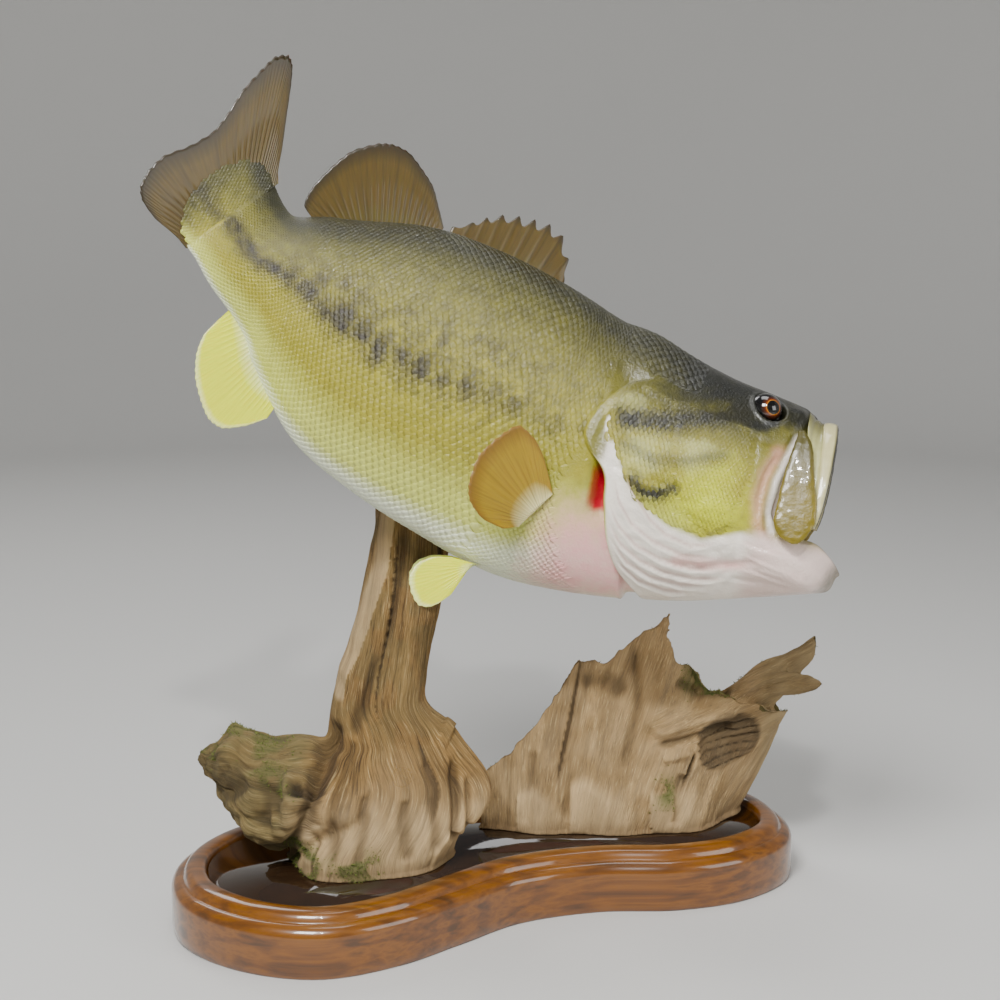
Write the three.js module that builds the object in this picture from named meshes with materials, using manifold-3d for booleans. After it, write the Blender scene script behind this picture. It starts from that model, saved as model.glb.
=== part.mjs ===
// A mounted largemouth bass on a driftwood stump and a lacquered kidney-shaped plinth.
// Millimetres, +Z up. The origin is the centre of the plinth's underside, and the fish
// shows its right side towards -Y, with its head towards +X.
import * as THREE from 'three';
import { mergeVertices } from 'three/addons/utils/BufferGeometryUtils.js';
import Module from 'manifold-3d';

const wasm = await Module();
wasm.setup();

// ---- driving dimensions ----

const CLEARANCE = 0.3; // gap left between any two pieces
const MERGE_DISTANCE = 0.001; // points closer than this are one point
const CUTTER_REACH = 200; // how far a cutting block runs past the head
const RING_POINTS = 28; // points around the body
const BAR_SIDES = 8; // faces around a bone
const BALL_DETAIL = 2; // times that an icosahedron is divided into a ball

// The backbone line from the root of the tail fin to the shoulders, then straight into the head.
const BACKBONE = [
  [-166, -60, 488],
  [-153, -52, 463],
  [-126, -41, 440],
  [-89, -32, 412],
  [-47, -26, 383],
  [-2, -24, 355],
  [39, -26, 332],
  [74, -31, 321],
];
const HEAD_CENTRE = [151, -48, 310]; // middle of the head, on its own long axis
const HEAD_YAW = 13; // degrees the head turns towards -Y
const HEAD_PITCH = 10; // degrees it points down
const STRAIGHT_POINTS = [-40, 0, 60, 100]; // points of the backbone on the head's axis, ahead of HEAD_CENTRE
const TANGENT_STEP = 0.5; // the backbone's direction is taken this far to each side
const ROLL_AT_TAIL = 4; // degrees the right flank faces up
const ROLL_AT_HEAD = 12;
const ROLL_LENGTH = 250; // distance from the tail over which the roll changes

// Body sections by distance along the backbone from the tail fin:
// [distance, height above, depth below, half width, level of the widest point, fullness above, below]
const SECTIONS = [
  [0, 35, 42, 6, 0, 1.7, 1.7],
  [20, 34, 40, 13, 0, 1.8, 1.8],
  [33, 34, 41, 19, 0, 1.9, 1.9],
  [72, 56, 63, 33, 2, 1.9, 2.0],
  [118, 82, 88, 47, 4, 1.9, 2.1],
  [168, 95, 96, 58, 5, 1.9, 2.2],
  [221, 99, 98, 64, 5, 1.9, 2.2],
  [268, 97, 97, 65, 2, 1.9, 2.2],
  [306, 92, 92, 62, 0, 1.9, 2.1],
  [326, 90, 91, 57, 0, 1.9, 2.0],
];
const PEDUNCLE_END = 62; // where the tail stem is parted from the trunk
const TRUNK_END = 330; // the trunk's last section, before the head's back plane trims it
const STEM_STEPS = 6;
const TRUNK_STEPS = 17;

// Head sections by distance ahead of HEAD_CENTRE, in the same columns.
const HEAD_SECTIONS = [
  [-90, 98, 92, 67, -2, 1.9, 2.0],
  [-60, 88, 91, 65, -6, 1.8, 1.9],
  [-30, 76, 88, 61, -10, 1.8, 1.8],
  [-4, 68, 83, 56, -12, 1.8, 1.7],
  [22, 63, 76, 48, -12, 1.8, 1.7],
];
const HEAD_BACK = -60; // where the trunk and the head meet
const CHEEK_BACK = -25; // the gill cover starts behind this
const HEAD_RINGS = [-12, 0, 12, 22]; // sections ahead of the cheek's rear edge

// Two rings that close the face, by degrees round the head from the top of the snout to the chin:
// [degrees, ahead, up, out]
const MUZZLE_RING = [
  [0, 46, 58, 0],
  [30, 44, 52, 18],
  [60, 38, 32, 32],
  [90, 32, -4, 43],
  [112, 37, -31, 45],
  [125, 46, -43, 43],
  [145, 60, -52, 35],
  [165, 72, -58, 20],
  [180, 76, -60, 0],
];
const LIP_RING = [
  [0, 53, 54, 0],
  [30, 51, 46, 17],
  [60, 44, 27, 29],
  [90, 39, 2, 37],
  [112, 40, -20, 40],
  [125, 53, -29, 40],
  [145, 70, -31, 33],
  [165, 83, -41, 17],
  [180, 88, -47, 0],
];
const LIP_THICKNESS = 5;
const MOUTH_CENTRE_UP = -6;
// The open mouth's back rings as [ahead, share of the head's section], then how far its lip rings move
const MOUTH_RINGS = [
  [-28, 0.25],
  [-10, 0.55],
  [14, 0.74],
];
const MUZZLE_SHIFT = -4;
const LIP_SHIFTS = [-1, 24];
// The line that parts the lower jaw from the head, seen from the side
const JAW_CUT = { ahead: 43, up: -19, slope: 1.55 };

// The rear edge of the gill cover, with its soft flap: [degrees round the head, ahead]
const GILL_EDGE = [
  [46, -58],
  [58, -71],
  [72, -83],
  [84, -85],
  [94, -70],
  [108, -65],
  [124, -60],
  [142, -51],
  [157, -40],
  [179, -33],
];
const GILL_COVER_THICKNESS = 3;
const GILL_PIT = 13; // how deep the head is hollowed under the gill cover
const THROAT_PIT = 4; // and how deep under the throat
const PIT_TOP = [40, 58]; // degrees over which the hollow reaches its depth
const PIT_BOTTOM = [140, 170]; // and over which it eases to the throat's
const PIT_RINGS = [-49, -37];
const CHEEK_STEP = 0.8;
const GILL_COVER_STEPS = { around: 13, along: 3 };

const EYE = { ahead: 20.5, up: 50.5, out: 16.5, radius: 11.5 };

// Jaw bones in head places: [ahead, up, out, half width, half thickness]
const MAXILLA = [
  [47, 41, 31, 2, 0.8],
  [50, 31, 36, 6, 1.4],
  [52, 10, 42, 10, 1.6],
  [54.5, -8, 45.5, 12.5, 1.7],
  [55, -19, 47.5, 12.5, 1.7],
  [57, -27, 48.5, 8, 1.5],
  [58, -31, 49, 2, 0.8],
];
const PREMAXILLA = [
  [61.5, 49, 0, 7.5, 2.6],
  [62, 46, 12, 7.5, 2.6],
  [64, 36, 25, 7, 2.2],
  [66.5, 14, 36, 5.2, 1.8],
  [67.5, -6, 41, 3.4, 1.4],
  [67.5, -19, 43, 1.4, 1],
];
const TONGUE = [
  [-8, -42, 0, 8, 4],
  [12, -47, 0, 13, 4.5],
  [34, -50, 0, 13, 4],
  [50, -52, 0, 6, 2],
];
const GILL_ARCH = { from: 74, to: 136, back: -57, front: -31, shallow: 4.5, deep: 11 };
const GILL_ARCH_STEPS = { around: 7, along: 2 };

const FIN_STEPS = 3; // rows of faces from a fin's base to its edge
const FIN_SUNK = 6; // how deep a fin's base starts inside the body, which then trims it

// Fins in the plane of the body at a station, as the points their rays reach: [ahead, up].
// The base runs between two distances along the backbone.
const SOFT_DORSAL = {
  station: 95,
  base: [54, 127],
  tips: [
    [-46, 40],
    [-55, 44],
    [-57, 57],
    [-54, 76],
    [-49, 92],
    [-38, 106],
    [-29, 112],
    [-17, 114],
    [-3, 110],
    [9, 105],
    [21, 95],
    [30, 87],
  ],
  root: 2.4,
  edge: 0.8,
};
const SPINY_DORSAL = {
  station: 175,
  base: [132, 219],
  tips: [
    [-42, 91],
    [-31, 102],
    [-24, 111],
    [-14, 119],
    [-2, 124],
    [9, 128],
    [22, 129],
    [36, 117],
    [42, 101],
  ],
  root: 2,
  edge: 0.8,
};
const ANAL_FIN = {
  station: 65,
  base: [40, 98],
  tips: [
    [-30, -53],
    [-32, -65],
    [-29, -78],
    [-21, -91],
    [-10, -101],
    [1, -108],
    [12, -108],
    [24, -98],
    [33, -86],
  ],
  root: 2.4,
  edge: 0.8,
};
// The tail fin from the middle of its base: [behind, up]
const TAIL_FIN = {
  base: [36, -41],
  tips: [
    [5, 42],
    [14, 52],
    [28, 65],
    [44, 80],
    [54, 88],
    [61, 89],
    [65, 80],
    [63, 66],
    [59, 48],
    [52, 30],
    [48, 15],
    [49, -3],
    [53, -22],
    [51, -36],
    [46, -46],
    [38, -50],
    [24, -49],
    [8, -43],
  ],
  root: 4,
  edge: 0.8,
};
// Paired fins at a station: the ends of the base and the tips, as [ahead, up, out]
const PECTORAL = {
  station: 268,
  base: [
    [12, -33, 62],
    [0, -60, 60],
  ],
  tips: [
    [10, -29, 65],
    [-2, -13, 74],
    [-11, -5, 80],
    [-24, -1, 86],
    [-33, -14, 93],
    [-39, -29, 98],
    [-38, -47, 101],
    [-33, -57, 99],
    [-22, -64, 92],
    [-8, -65, 79],
  ],
  root: 2.2,
  edge: 0.8,
};
const PELVIC = {
  station: 245,
  base: [
    [20, -94, 18],
    [14, -96, 19],
  ],
  tips: [
    [0, -99, 20],
    [-11, -105, 23],
    [-18, -114, 26],
    [-18, -124, 28],
    [-12, -132, 29],
    [-4, -137, 29],
    [3, -135, 28],
    [8, -129, 26],
    [12, -121, 23],
  ],
  root: 2.2,
  edge: 0.8,
};

// The plinth: a kidney outline, and its moulded edge as [inset, height] from the floor up
const PLINTH_OUTLINE = [
  [-223, -32],
  [-209, -92],
  [-165, -132],
  [-110, -145],
  [-60, -124],
  [-22, -92],
  [20, -56],
  [75, -37],
  [130, -34],
  [180, -16],
  [216, 22],
  [221, 62],
  [200, 112],
  [150, 142],
  [80, 156],
  [0, 150],
  [-80, 118],
  [-150, 72],
  [-205, 20],
];
const PLINTH_EDGE = [
  [1.5, 0],
  [0, 2],
  [0, 27],
  [2, 33],
  [7, 36.3],
  [10, 39],
  [15, 42],
  [22, 42],
  [24, 40],
  [25, 34],
];
const PLINTH_POINTS = 50;
const RESIN_TOP = 37;
const RESIN_INSET = 25.6;

// Driftwood. The post's level rings: [height, x, y, half width, half depth]
const WOOD_BOTTOM = RESIN_TOP + CLEARANCE;
const WOOD_SIDES = 24;
// The uneven outline of weathered wood: [share of the radius, waves round, height that a wave climbs, start]
const WOOD_WAVES = [
  [0.07, 3, 37, 0],
  [0.05, 5, -23, 1],
];
const POST = [
  [WOOD_BOTTOM, -88, -28, 58, 44],
  [52, -84, -27, 60, 44],
  [70, -72, -22, 64, 44],
  [97, -62, -18, 56, 38],
  [114, -67, -14, 50, 34],
  [132, -73, -9, 44, 31],
  [146, -79, -6, 36, 29],
  [161, -77, -3, 34, 28],
  [182, -72, 0, 32, 27],
  [218, -64, 5, 31, 25],
  [246, -60, 8, 30, 23],
  [281, -57, 10, 28, 22],
  [330, -54, 12, 27, 21],
];
const POST_CALM = { from: 150, to: 190, share: 0.35 }; // above its knots the post is nearly straight
const POST_LOWER = { top: 170, steps: 11 }; // evenly spaced rings at the foot
const POST_UPPER = [200, 235, 270, 300, 330];
const ROOT_WAVE_START = 300;
// The root's upright rings: [x, y, height, half depth, half height]
const ROOT = [
  [-60, -22, 84, 30, 40],
  [-105, -24, 81, 42, 44],
  [-140, -22, 81, 45, 41],
  [-165, -15, 82, 38, 40],
  [-186, -9, 94, 29, 33],
  [-198, -6, 96, 19, 16],
  [-207, -4, 100, 10, 7],
];
// The shard stands along the right lobe:
// [x, y of its front at the foot, height of its broken top, lean of the top]
const SHARD = [
  [-12, 30, 78, 6],
  [4, 24, 94, 8],
  [22, 20, 109, 8],
  [34, 18, 129, 8],
  [46, 17, 147, 9],
  [55, 16, 165, 10],
  [72, 15, 171, 12],
  [82, 15, 165, 12],
  [97, 15, 181, 13],
  [114, 16, 190, 14],
  [131, 18, 199, 14],
  [136, 20, 167, 10],
  [150, 24, 160, 6],
  [158, 29, 149, 0],
  [166, 36, 140, -6],
  [174, 46, 134, -14],
  [184, 58, 127, -30],
  [188, 72, 118, -32],
  [185, 88, 92, -25],
];
const SHARD_FOOT = 34; // thickness at the foot
const SHARD_TOP = 7; // thickness at the top
const SHARD_STEPS = 5;
const SHARD_RIPPLE = { size: 2, along: 9, up: 40 };
const ARM_SIDES = 8;
// Its arm splits into an upper and a lower finger: [centre, half height, half thickness]
const SHARD_ARMS = [
  [
    [[150, 40, 118], 14, 8],
    [[182, 50, 128], 18, 9],
    [[207, 56, 144], 19, 8],
    [[222, 59, 155], 13, 6],
    [[231, 60, 163], 10, 5],
    [[238.5, 60, 177], 2.5, 2],
  ],
  [
    [[200, 53, 140], 12, 7],
    [[222, 44, 144], 11, 5.5],
    [[233, 36, 145], 7.5, 4],
    [[239.5, 31, 147], 2.5, 2],
  ],
];
const SHARD_HOLLOW = { centre: [178, 23, 101], radii: [28.5, 22, 26] };

// ---- smooth curves through named stations ----

function smooth(stations, column, x) {
  const last = stations.length - 1;
  const slope = (i) =>
    (stations[i + 1][column] - stations[i][column]) / (stations[i + 1][0] - stations[i][0]);
  const tangent = (i) => {
    if (i === 0) return slope(0);
    if (i === last) return slope(last - 1);
    const before = stations[i][0] - stations[i - 1][0];
    const after = stations[i + 1][0] - stations[i][0];
    return (after * slope(i - 1) + before * slope(i)) / (before + after);
  };
  let k = 0;
  while (k < last - 1 && x > stations[k + 1][0]) k += 1;
  const step = stations[k + 1][0] - stations[k][0];
  const t = (x - stations[k][0]) / step;
  const t2 = t * t;
  const t3 = t2 * t;
  return (
    (2 * t3 - 3 * t2 + 1) * stations[k][column] +
    (t3 - 2 * t2 + t) * step * tangent(k) +
    (3 * t2 - 2 * t3) * stations[k + 1][column] +
    (t3 - t2) * step * tangent(k + 1)
  );
}

const lerp = (a, b, t) => a + (b - a) * t;
const range = (count) => Array.from({ length: count }, (_, i) => i);
const ramp = (edge0, edge1, x) => THREE.MathUtils.smoothstep(x, edge0, edge1);
const rad = THREE.MathUtils.degToRad;
const vec = (p) => new THREE.Vector3(...p);

// ---- the backbone and the frames along it ----

const headYaw = rad(HEAD_YAW);
const headPitch = rad(HEAD_PITCH);
const headAxis = new THREE.Vector3(
  Math.cos(headYaw) * Math.cos(headPitch),
  -Math.sin(headYaw) * Math.cos(headPitch),
  -Math.sin(headPitch),
);
const onHeadAxis = (ahead) => vec(HEAD_CENTRE).addScaledVector(headAxis, ahead);

const backbonePoints = [...BACKBONE.map(vec), ...STRAIGHT_POINTS.map(onHeadAxis)];
let along = 0;
const backbone = backbonePoints.map((point, i) => {
  if (i > 0) along += point.distanceTo(backbonePoints[i - 1]);
  return [along, ...point.toArray()];
});
const headCentreAlong = backbone[BACKBONE.length + STRAIGHT_POINTS.indexOf(0)][0];

const backboneAt = (s) => vec([1, 2, 3].map((column) => smooth(backbone, column, s)));

// centre, forward, up and right-hand side of the body at a distance along the backbone
function bodyFrame(s) {
  const forward = backboneAt(s + TANGENT_STEP).sub(backboneAt(s - TANGENT_STEP)).normalize();
  const level = new THREE.Vector3(forward.y, -forward.x, 0).normalize();
  const upright = level.clone().cross(forward);
  const roll = rad(lerp(ROLL_AT_TAIL, ROLL_AT_HEAD, ramp(0, ROLL_LENGTH, s)));
  const up = upright.clone().multiplyScalar(Math.cos(roll)).addScaledVector(level, -Math.sin(roll));
  const side = level.multiplyScalar(Math.cos(roll)).addScaledVector(upright, Math.sin(roll));
  return { centre: backboneAt(s), forward, up, side };
}
const headFrame = bodyFrame(headCentreAlong);

// a point of the body, by distance along the backbone, up from it and out to the right
function bodyPoint(s, up, out) {
  const frame = bodyFrame(s);
  return frame.centre.addScaledVector(frame.up, up).addScaledVector(frame.side, out);
}

// a point of the head, ahead of its centre, up and out to the right
function headPoint(ahead, up, out) {
  return onHeadAxis(ahead).addScaledVector(headFrame.up, up).addScaledVector(headFrame.side, out);
}

// [up, out] of a section's outline at an angle from the back, clockwise seen from behind
function sectionPoint(table, x, degrees, grow = 0) {
  const columns = [1, 2, 3, 4, 5, 6].map((column) => smooth(table, column, x));
  const [above, below, width, level, fullTop, fullBottom] = columns;
  const cos = Math.cos(rad(degrees));
  const sin = Math.sin(rad(degrees));
  const power = 2 / (cos >= 0 ? fullTop : fullBottom);
  const reach = cos >= 0 ? above - level + grow : below + level + grow;
  const up = level + Math.sign(cos) * reach * Math.abs(cos) ** power;
  const out = Math.sign(sin) * (width + grow) * Math.abs(sin) ** power;
  return [up, out];
}

const ringAngles = range(RING_POINTS).map((i) => (360 * i) / RING_POINTS);

function bodyRing(s, grow = 0) {
  return ringAngles.map((degrees) => bodyPoint(s, ...sectionPoint(SECTIONS, s, degrees, grow)));
}

// ---- closed solids from rings and grids of points ----

function closedGeometry(points, triangles) {
  const geometry = new THREE.BufferGeometry();
  const numbers = points.flatMap((p) => p.toArray());
  geometry.setAttribute('position', new THREE.Float32BufferAttribute(numbers, 3));
  geometry.setIndex(triangles.flat());
  const merged = mergeVertices(geometry, MERGE_DISTANCE);
  const position = merged.getAttribute('position');
  const index = Array.from(merged.getIndex().array);
  const corners = [];
  let volume = 0;
  for (let i = 0; i < index.length; i += 3) {
    const [a, b, c] = index.slice(i, i + 3);
    if (a === b || b === c || c === a) continue;
    corners.push([a, b, c]);
    const [p, q, r] = [a, b, c].map((n) => new THREE.Vector3().fromBufferAttribute(position, n));
    volume += p.dot(q.cross(r));
  }
  merged.setIndex((volume < 0 ? corners.map(([a, b, c]) => [a, c, b]) : corners).flat());
  return merged;
}

// rings of equal length, joined in order, with a centre point closing each end
function loft(rings) {
  const n = rings[0].length;
  const points = rings.flat();
  const triangles = [];
  for (let k = 0; k + 1 < rings.length; k += 1) {
    for (let i = 0; i < n; i += 1) {
      const j = (i + 1) % n;
      const [a, b, c, d] = [k * n + i, k * n + j, (k + 1) * n + i, (k + 1) * n + j];
      triangles.push([a, b, d], [a, d, c]);
    }
  }
  const middle = (ring) => ring.reduce((sum, p) => sum.add(p), new THREE.Vector3()).divideScalar(n);
  const first = points.push(middle(rings[0])) - 1;
  const last = points.push(middle(rings.at(-1))) - 1;
  const start = (rings.length - 1) * n;
  for (let i = 0; i < n; i += 1) {
    const j = (i + 1) % n;
    triangles.push([first, j, i], [last, start + i, start + j]);
  }
  return closedGeometry(points, triangles);
}

// a plate between two faces, each a grid of rows of points
function plate(front, back) {
  const rows = front.length;
  const columns = front[0].length;
  const points = [...front.flat(), ...back.flat()];
  const offset = rows * columns;
  const triangles = [];
  const quad = (a, b, c, d) => triangles.push([a, b, c], [a, c, d]);
  for (let r = 0; r + 1 < rows; r += 1) {
    for (let c = 0; c + 1 < columns; c += 1) {
      const here = r * columns + c;
      const above = here + columns;
      quad(here, here + 1, above + 1, above);
      quad(here + offset, above + offset, above + 1 + offset, here + 1 + offset);
    }
  }
  const border = [
    ...range(columns - 1),
    ...range(rows - 1).map((r) => r * columns + columns - 1),
    ...range(columns - 1).map((c) => rows * columns - 1 - c),
    ...range(rows - 1).map((r) => (rows - 1 - r) * columns),
  ];
  border.forEach((a, i) => {
    const b = border[(i + 1) % border.length];
    quad(b, a, a + offset, b + offset);
  });
  return closedGeometry(points, triangles);
}

// a bar along a path: stations are [position, half width, half thickness], flat across `across`
function bar(stations, across, sides = BAR_SIDES) {
  const rings = stations.map(([centre, width, thickness], k) => {
    const next = stations[Math.min(k + 1, stations.length - 1)][0];
    const before = stations[Math.max(k - 1, 0)][0];
    const forward = next.clone().sub(before).normalize();
    const wide = across.clone().addScaledVector(forward, -across.dot(forward)).normalize();
    const thin = forward.clone().cross(wide);
    return range(sides).map((i) => {
      const angle = (2 * Math.PI * i) / sides;
      return centre
        .clone()
        .addScaledVector(wide, width * Math.cos(angle))
        .addScaledVector(thin, thickness * Math.sin(angle));
    });
  });
  return loft(rings);
}

// ---- cutting and joining ----

function toSolid(geometry) {
  const triVerts = new Uint32Array(geometry.getIndex().array);
  const vertProperties = new Float32Array(geometry.getAttribute('position').array);
  return new wasm.Manifold(new wasm.Mesh({ numProp: 3, vertProperties, triVerts }));
}

function toGeometry(solid) {
  const mesh = solid.getMesh();
  const geometry = new THREE.BufferGeometry();
  geometry.setAttribute('position', new THREE.Float32BufferAttribute(mesh.vertProperties, 3));
  geometry.setIndex(Array.from(mesh.triVerts));
  return geometry;
}

function plainSolid(geometry) {
  const bare = geometry.clone();
  bare.deleteAttribute('normal');
  bare.deleteAttribute('uv');
  return toSolid(mergeVertices(bare));
}

// ---- the trunk and the tail stem ----

const alongFrom = (start, end, count) => range(count + 1).map((k) => lerp(start, end, k / count));

// all that lies ahead of the plane where the head starts
const headPlaneCorners = [
  [-CUTTER_REACH, -CUTTER_REACH],
  [CUTTER_REACH, -CUTTER_REACH],
  [CUTTER_REACH, CUTTER_REACH],
  [-CUTTER_REACH, CUTTER_REACH],
];
const headPlaneBlock = toSolid(
  loft(
    [HEAD_BACK, CUTTER_REACH].map((ahead) =>
      headPlaneCorners.map(([up, out]) => headPoint(ahead, up, out)),
    ),
  ),
);
const stemStations = alongFrom(0, PEDUNCLE_END, STEM_STEPS);
const trunkStations = alongFrom(PEDUNCLE_END + CLEARANCE, TRUNK_END, TRUNK_STEPS);
const tailStem = loft(stemStations.map((s) => bodyRing(s)));
const trunk = toSolid(loft(trunkStations.map((s) => bodyRing(s)))).subtract(headPlaneBlock);
const bodyStations = [...stemStations, ...trunkStations];
const bodyCutter = toSolid(loft(bodyStations.map((s) => bodyRing(s, CLEARANCE))));

// ---- the head ----

// the ring of a face table at an angle round the head; the left side mirrors the right
function faceRingPoint(table, degrees) {
  const turn = degrees > 180 ? 360 - degrees : degrees;
  const [ahead, up, out] = [1, 2, 3].map((column) => smooth(table, column, turn));
  return [ahead, up, degrees > 180 ? -out : out];
}

// how far a point of the head's side is sunk to make room under the gill cover
function gillPit(ahead, degrees) {
  const turn = degrees > 180 ? 360 - degrees : degrees;
  const depth = lerp(GILL_PIT * ramp(...PIT_TOP, turn), THROAT_PIT, ramp(...PIT_BOTTOM, turn));
  return depth * (1 - ramp(CHEEK_BACK - CHEEK_STEP, CHEEK_BACK, ahead));
}

function headRing(ahead) {
  return ringAngles.map((degrees) => {
    const [up, out] = sectionPoint(HEAD_SECTIONS, ahead, degrees);
    const length = Math.hypot(up, out);
    const kept = (length - gillPit(ahead, degrees)) / length;
    return headPoint(ahead, up * kept, out * kept);
  });
}

const faceRing = (table) => ringAngles.map((degrees) => headPoint(...faceRingPoint(table, degrees)));

const insideRing = (table, shift) =>
  ringAngles.map((degrees) => {
    const [ahead, up, out] = faceRingPoint(table, degrees);
    const length = Math.hypot(up - MOUTH_CENTRE_UP, out);
    const kept = (length - LIP_THICKNESS) / length;
    return headPoint(ahead + shift, MOUTH_CENTRE_UP + (up - MOUTH_CENTRE_UP) * kept, out * kept);
  });

function mouthRing(ahead, share) {
  return ringAngles.map((degrees) => {
    const [up, out] = sectionPoint(HEAD_SECTIONS, ahead, degrees);
    return headPoint(ahead, MOUTH_CENTRE_UP + (up - MOUTH_CENTRE_UP) * share, out * share);
  });
}

const headStations = [
  HEAD_BACK + CLEARANCE,
  ...PIT_RINGS,
  CHEEK_BACK - CHEEK_STEP,
  CHEEK_BACK,
  ...HEAD_RINGS,
];
const headOuter = toSolid(
  loft([...headStations.map(headRing), faceRing(MUZZLE_RING), faceRing(LIP_RING)]),
);
const mouthHollow = toSolid(
  loft([
    ...MOUTH_RINGS.map(([ahead, share]) => mouthRing(ahead, share)),
    insideRing(MUZZLE_RING, MUZZLE_SHIFT),
    ...LIP_SHIFTS.map((shift) => insideRing(LIP_RING, shift)),
  ]),
);
const eyeCentre = (side) => headPoint(EYE.ahead, EYE.up, side * EYE.out);
const ball = (centre, radius) =>
  plainSolid(new THREE.IcosahedronGeometry(radius, BALL_DETAIL).translate(...centre.toArray()));

// all that lies in front of the slanting cut, moved forward by an offset
function jawBlock(offset) {
  const line = new THREE.Vector2(1, JAW_CUT.slope).normalize();
  const reach = CUTTER_REACH;
  const outline = [
    [-reach, offset],
    [reach, offset],
    [reach, reach],
    [-reach, reach],
  ].map(([t, n]) => [JAW_CUT.ahead + line.x * t + line.y * n, JAW_CUT.up + line.y * t - line.x * n]);
  return toSolid(loft([-reach, reach].map((out) => outline.map(([ahead, up]) => headPoint(ahead, up, out)))));
}

const face = headOuter
  .subtract(mouthHollow)
  .subtract(ball(eyeCentre(1), EYE.radius + CLEARANCE))
  .subtract(ball(eyeCentre(-1), EYE.radius + CLEARANCE));
const head = face.subtract(jawBlock(-CLEARANCE / 2));
const lowerJaw = face.intersect(jawBlock(CLEARANCE / 2));

// ---- gill covers, gills, jaw bones and tongue ----

// a point of the head's side, sunk by a depth below the skin
function sunkPoint(ahead, degrees, depth, side) {
  const [up, out] = sectionPoint(HEAD_SECTIONS, ahead, degrees);
  const length = Math.hypot(up, out);
  const kept = (length - depth) / length;
  return headPoint(ahead, up * kept, side * out * kept);
}

function gillCover(side) {
  const first = GILL_EDGE[0][0];
  const last = GILL_EDGE.at(-1)[0];
  const front = CHEEK_BACK - CHEEK_STEP - CLEARANCE;
  const { around, along: lengthways } = GILL_COVER_STEPS;
  const grid = (depth) =>
    alongFrom(first, last, around).map((degrees) => {
      const rear = smooth(GILL_EDGE, 1, degrees);
      return alongFrom(front, rear, lengthways).map((ahead) => sunkPoint(ahead, degrees, depth, side));
    });
  return toSolid(plate(grid(0), grid(GILL_COVER_THICKNESS))).subtract(bodyCutter);
}

function gillArch(side) {
  const { from, to, back, front, shallow, deep } = GILL_ARCH;
  const { around, along: lengthways } = GILL_ARCH_STEPS;
  const grid = (depth) =>
    alongFrom(from, to, around).map((degrees) =>
      alongFrom(back, front, lengthways).map((ahead) => sunkPoint(ahead, degrees, depth, side)),
    );
  return plate(grid(shallow), grid(deep));
}

function headBar(table, side, grow = 0, across = headAxis) {
  const stations = table.map(([ahead, up, out, width, thickness]) => {
    const centre = headPoint(ahead, up, side * out);
    return [centre, width + grow, thickness + grow];
  });
  return bar(stations, across);
}

const premaxillaArch = [
  ...PREMAXILLA.slice(1)
    .reverse()
    .map(([ahead, up, out, ...size]) => [ahead, up, -out, ...size]),
  ...PREMAXILLA,
];
const premaxilla = toSolid(headBar(premaxillaArch, 1))
  .subtract(toSolid(headBar(MAXILLA, 1, CLEARANCE)))
  .subtract(toSolid(headBar(MAXILLA, -1, CLEARANCE)));
const tongue = headBar(TONGUE, 1, 0, headFrame.side);

// ---- fins ----

// a fin between the points of its base and the tips of its rays, thinning towards the edge
function fin(basePoints, tipPoints, across, root, edge) {
  const face = (sign) =>
    tipPoints.map((tip, i) =>
      alongFrom(0, 1, FIN_STEPS).map((t) => {
        const half = lerp(root, edge, t) / 2;
        return basePoints[i].clone().lerp(tip, t).addScaledVector(across, sign * half);
      }),
    );
  return toSolid(plate(face(1), face(-1)));
}

// a fin on the back, or under the belly
function medianFin({ station, base, tips, root, edge }, onBack) {
  const { centre, forward, up, side } = bodyFrame(station);
  const basePoints = alongFrom(...base, tips.length - 1).map((s) => {
    const height = smooth(SECTIONS, onBack ? 1 : 2, s) - FIN_SUNK;
    return bodyPoint(s, onBack ? height : -height, 0);
  });
  const tipPoints = tips.map(([ahead, high]) =>
    centre.clone().addScaledVector(forward, ahead).addScaledVector(up, high),
  );
  return fin(basePoints, tipPoints, side, root, edge).subtract(bodyCutter);
}

function tailFin({ base, tips, root, edge }) {
  const { centre, forward, up, side } = bodyFrame(0);
  const place = ([behind, high]) =>
    centre.clone().addScaledVector(forward, -behind).addScaledVector(up, high);
  const basePoints = alongFrom(...base, tips.length - 1).map((high) => place([CLEARANCE, high]));
  return fin(basePoints, tips.map(place), side, root, edge);
}

function pairedFin({ station, base, tips, root, edge }, side) {
  const frame = bodyFrame(station);
  const place = ([ahead, high, out]) =>
    frame.centre
      .clone()
      .addScaledVector(frame.forward, ahead)
      .addScaledVector(frame.up, high)
      .addScaledVector(frame.side, side * out);
  const [upper, lower] = base.map(place);
  const basePoints = alongFrom(0, 1, tips.length - 1).map((t) => upper.clone().lerp(lower, t));
  const tipPoints = tips.map(place);
  const span = tipPoints.at(-1).clone().sub(tipPoints[0]);
  const reach = tipPoints[Math.floor(tips.length / 2)].clone().sub(basePoints[0]);
  const across = span.cross(reach).normalize();
  return fin(basePoints, tipPoints, across, root, edge).subtract(bodyCutter);
}

// ---- driftwood ----

// the share of the radius that the wood reaches at an angle and height
const knots = (angle, height, strength = 1) =>
  WOOD_WAVES.reduce(
    (sum, [size, waves, climb, start]) =>
      sum + strength * size * Math.sin(waves * angle + height / climb + start),
    1,
  );

const woodAngles = range(WOOD_SIDES).map((i) => (2 * Math.PI * i) / WOOD_SIDES);

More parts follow.
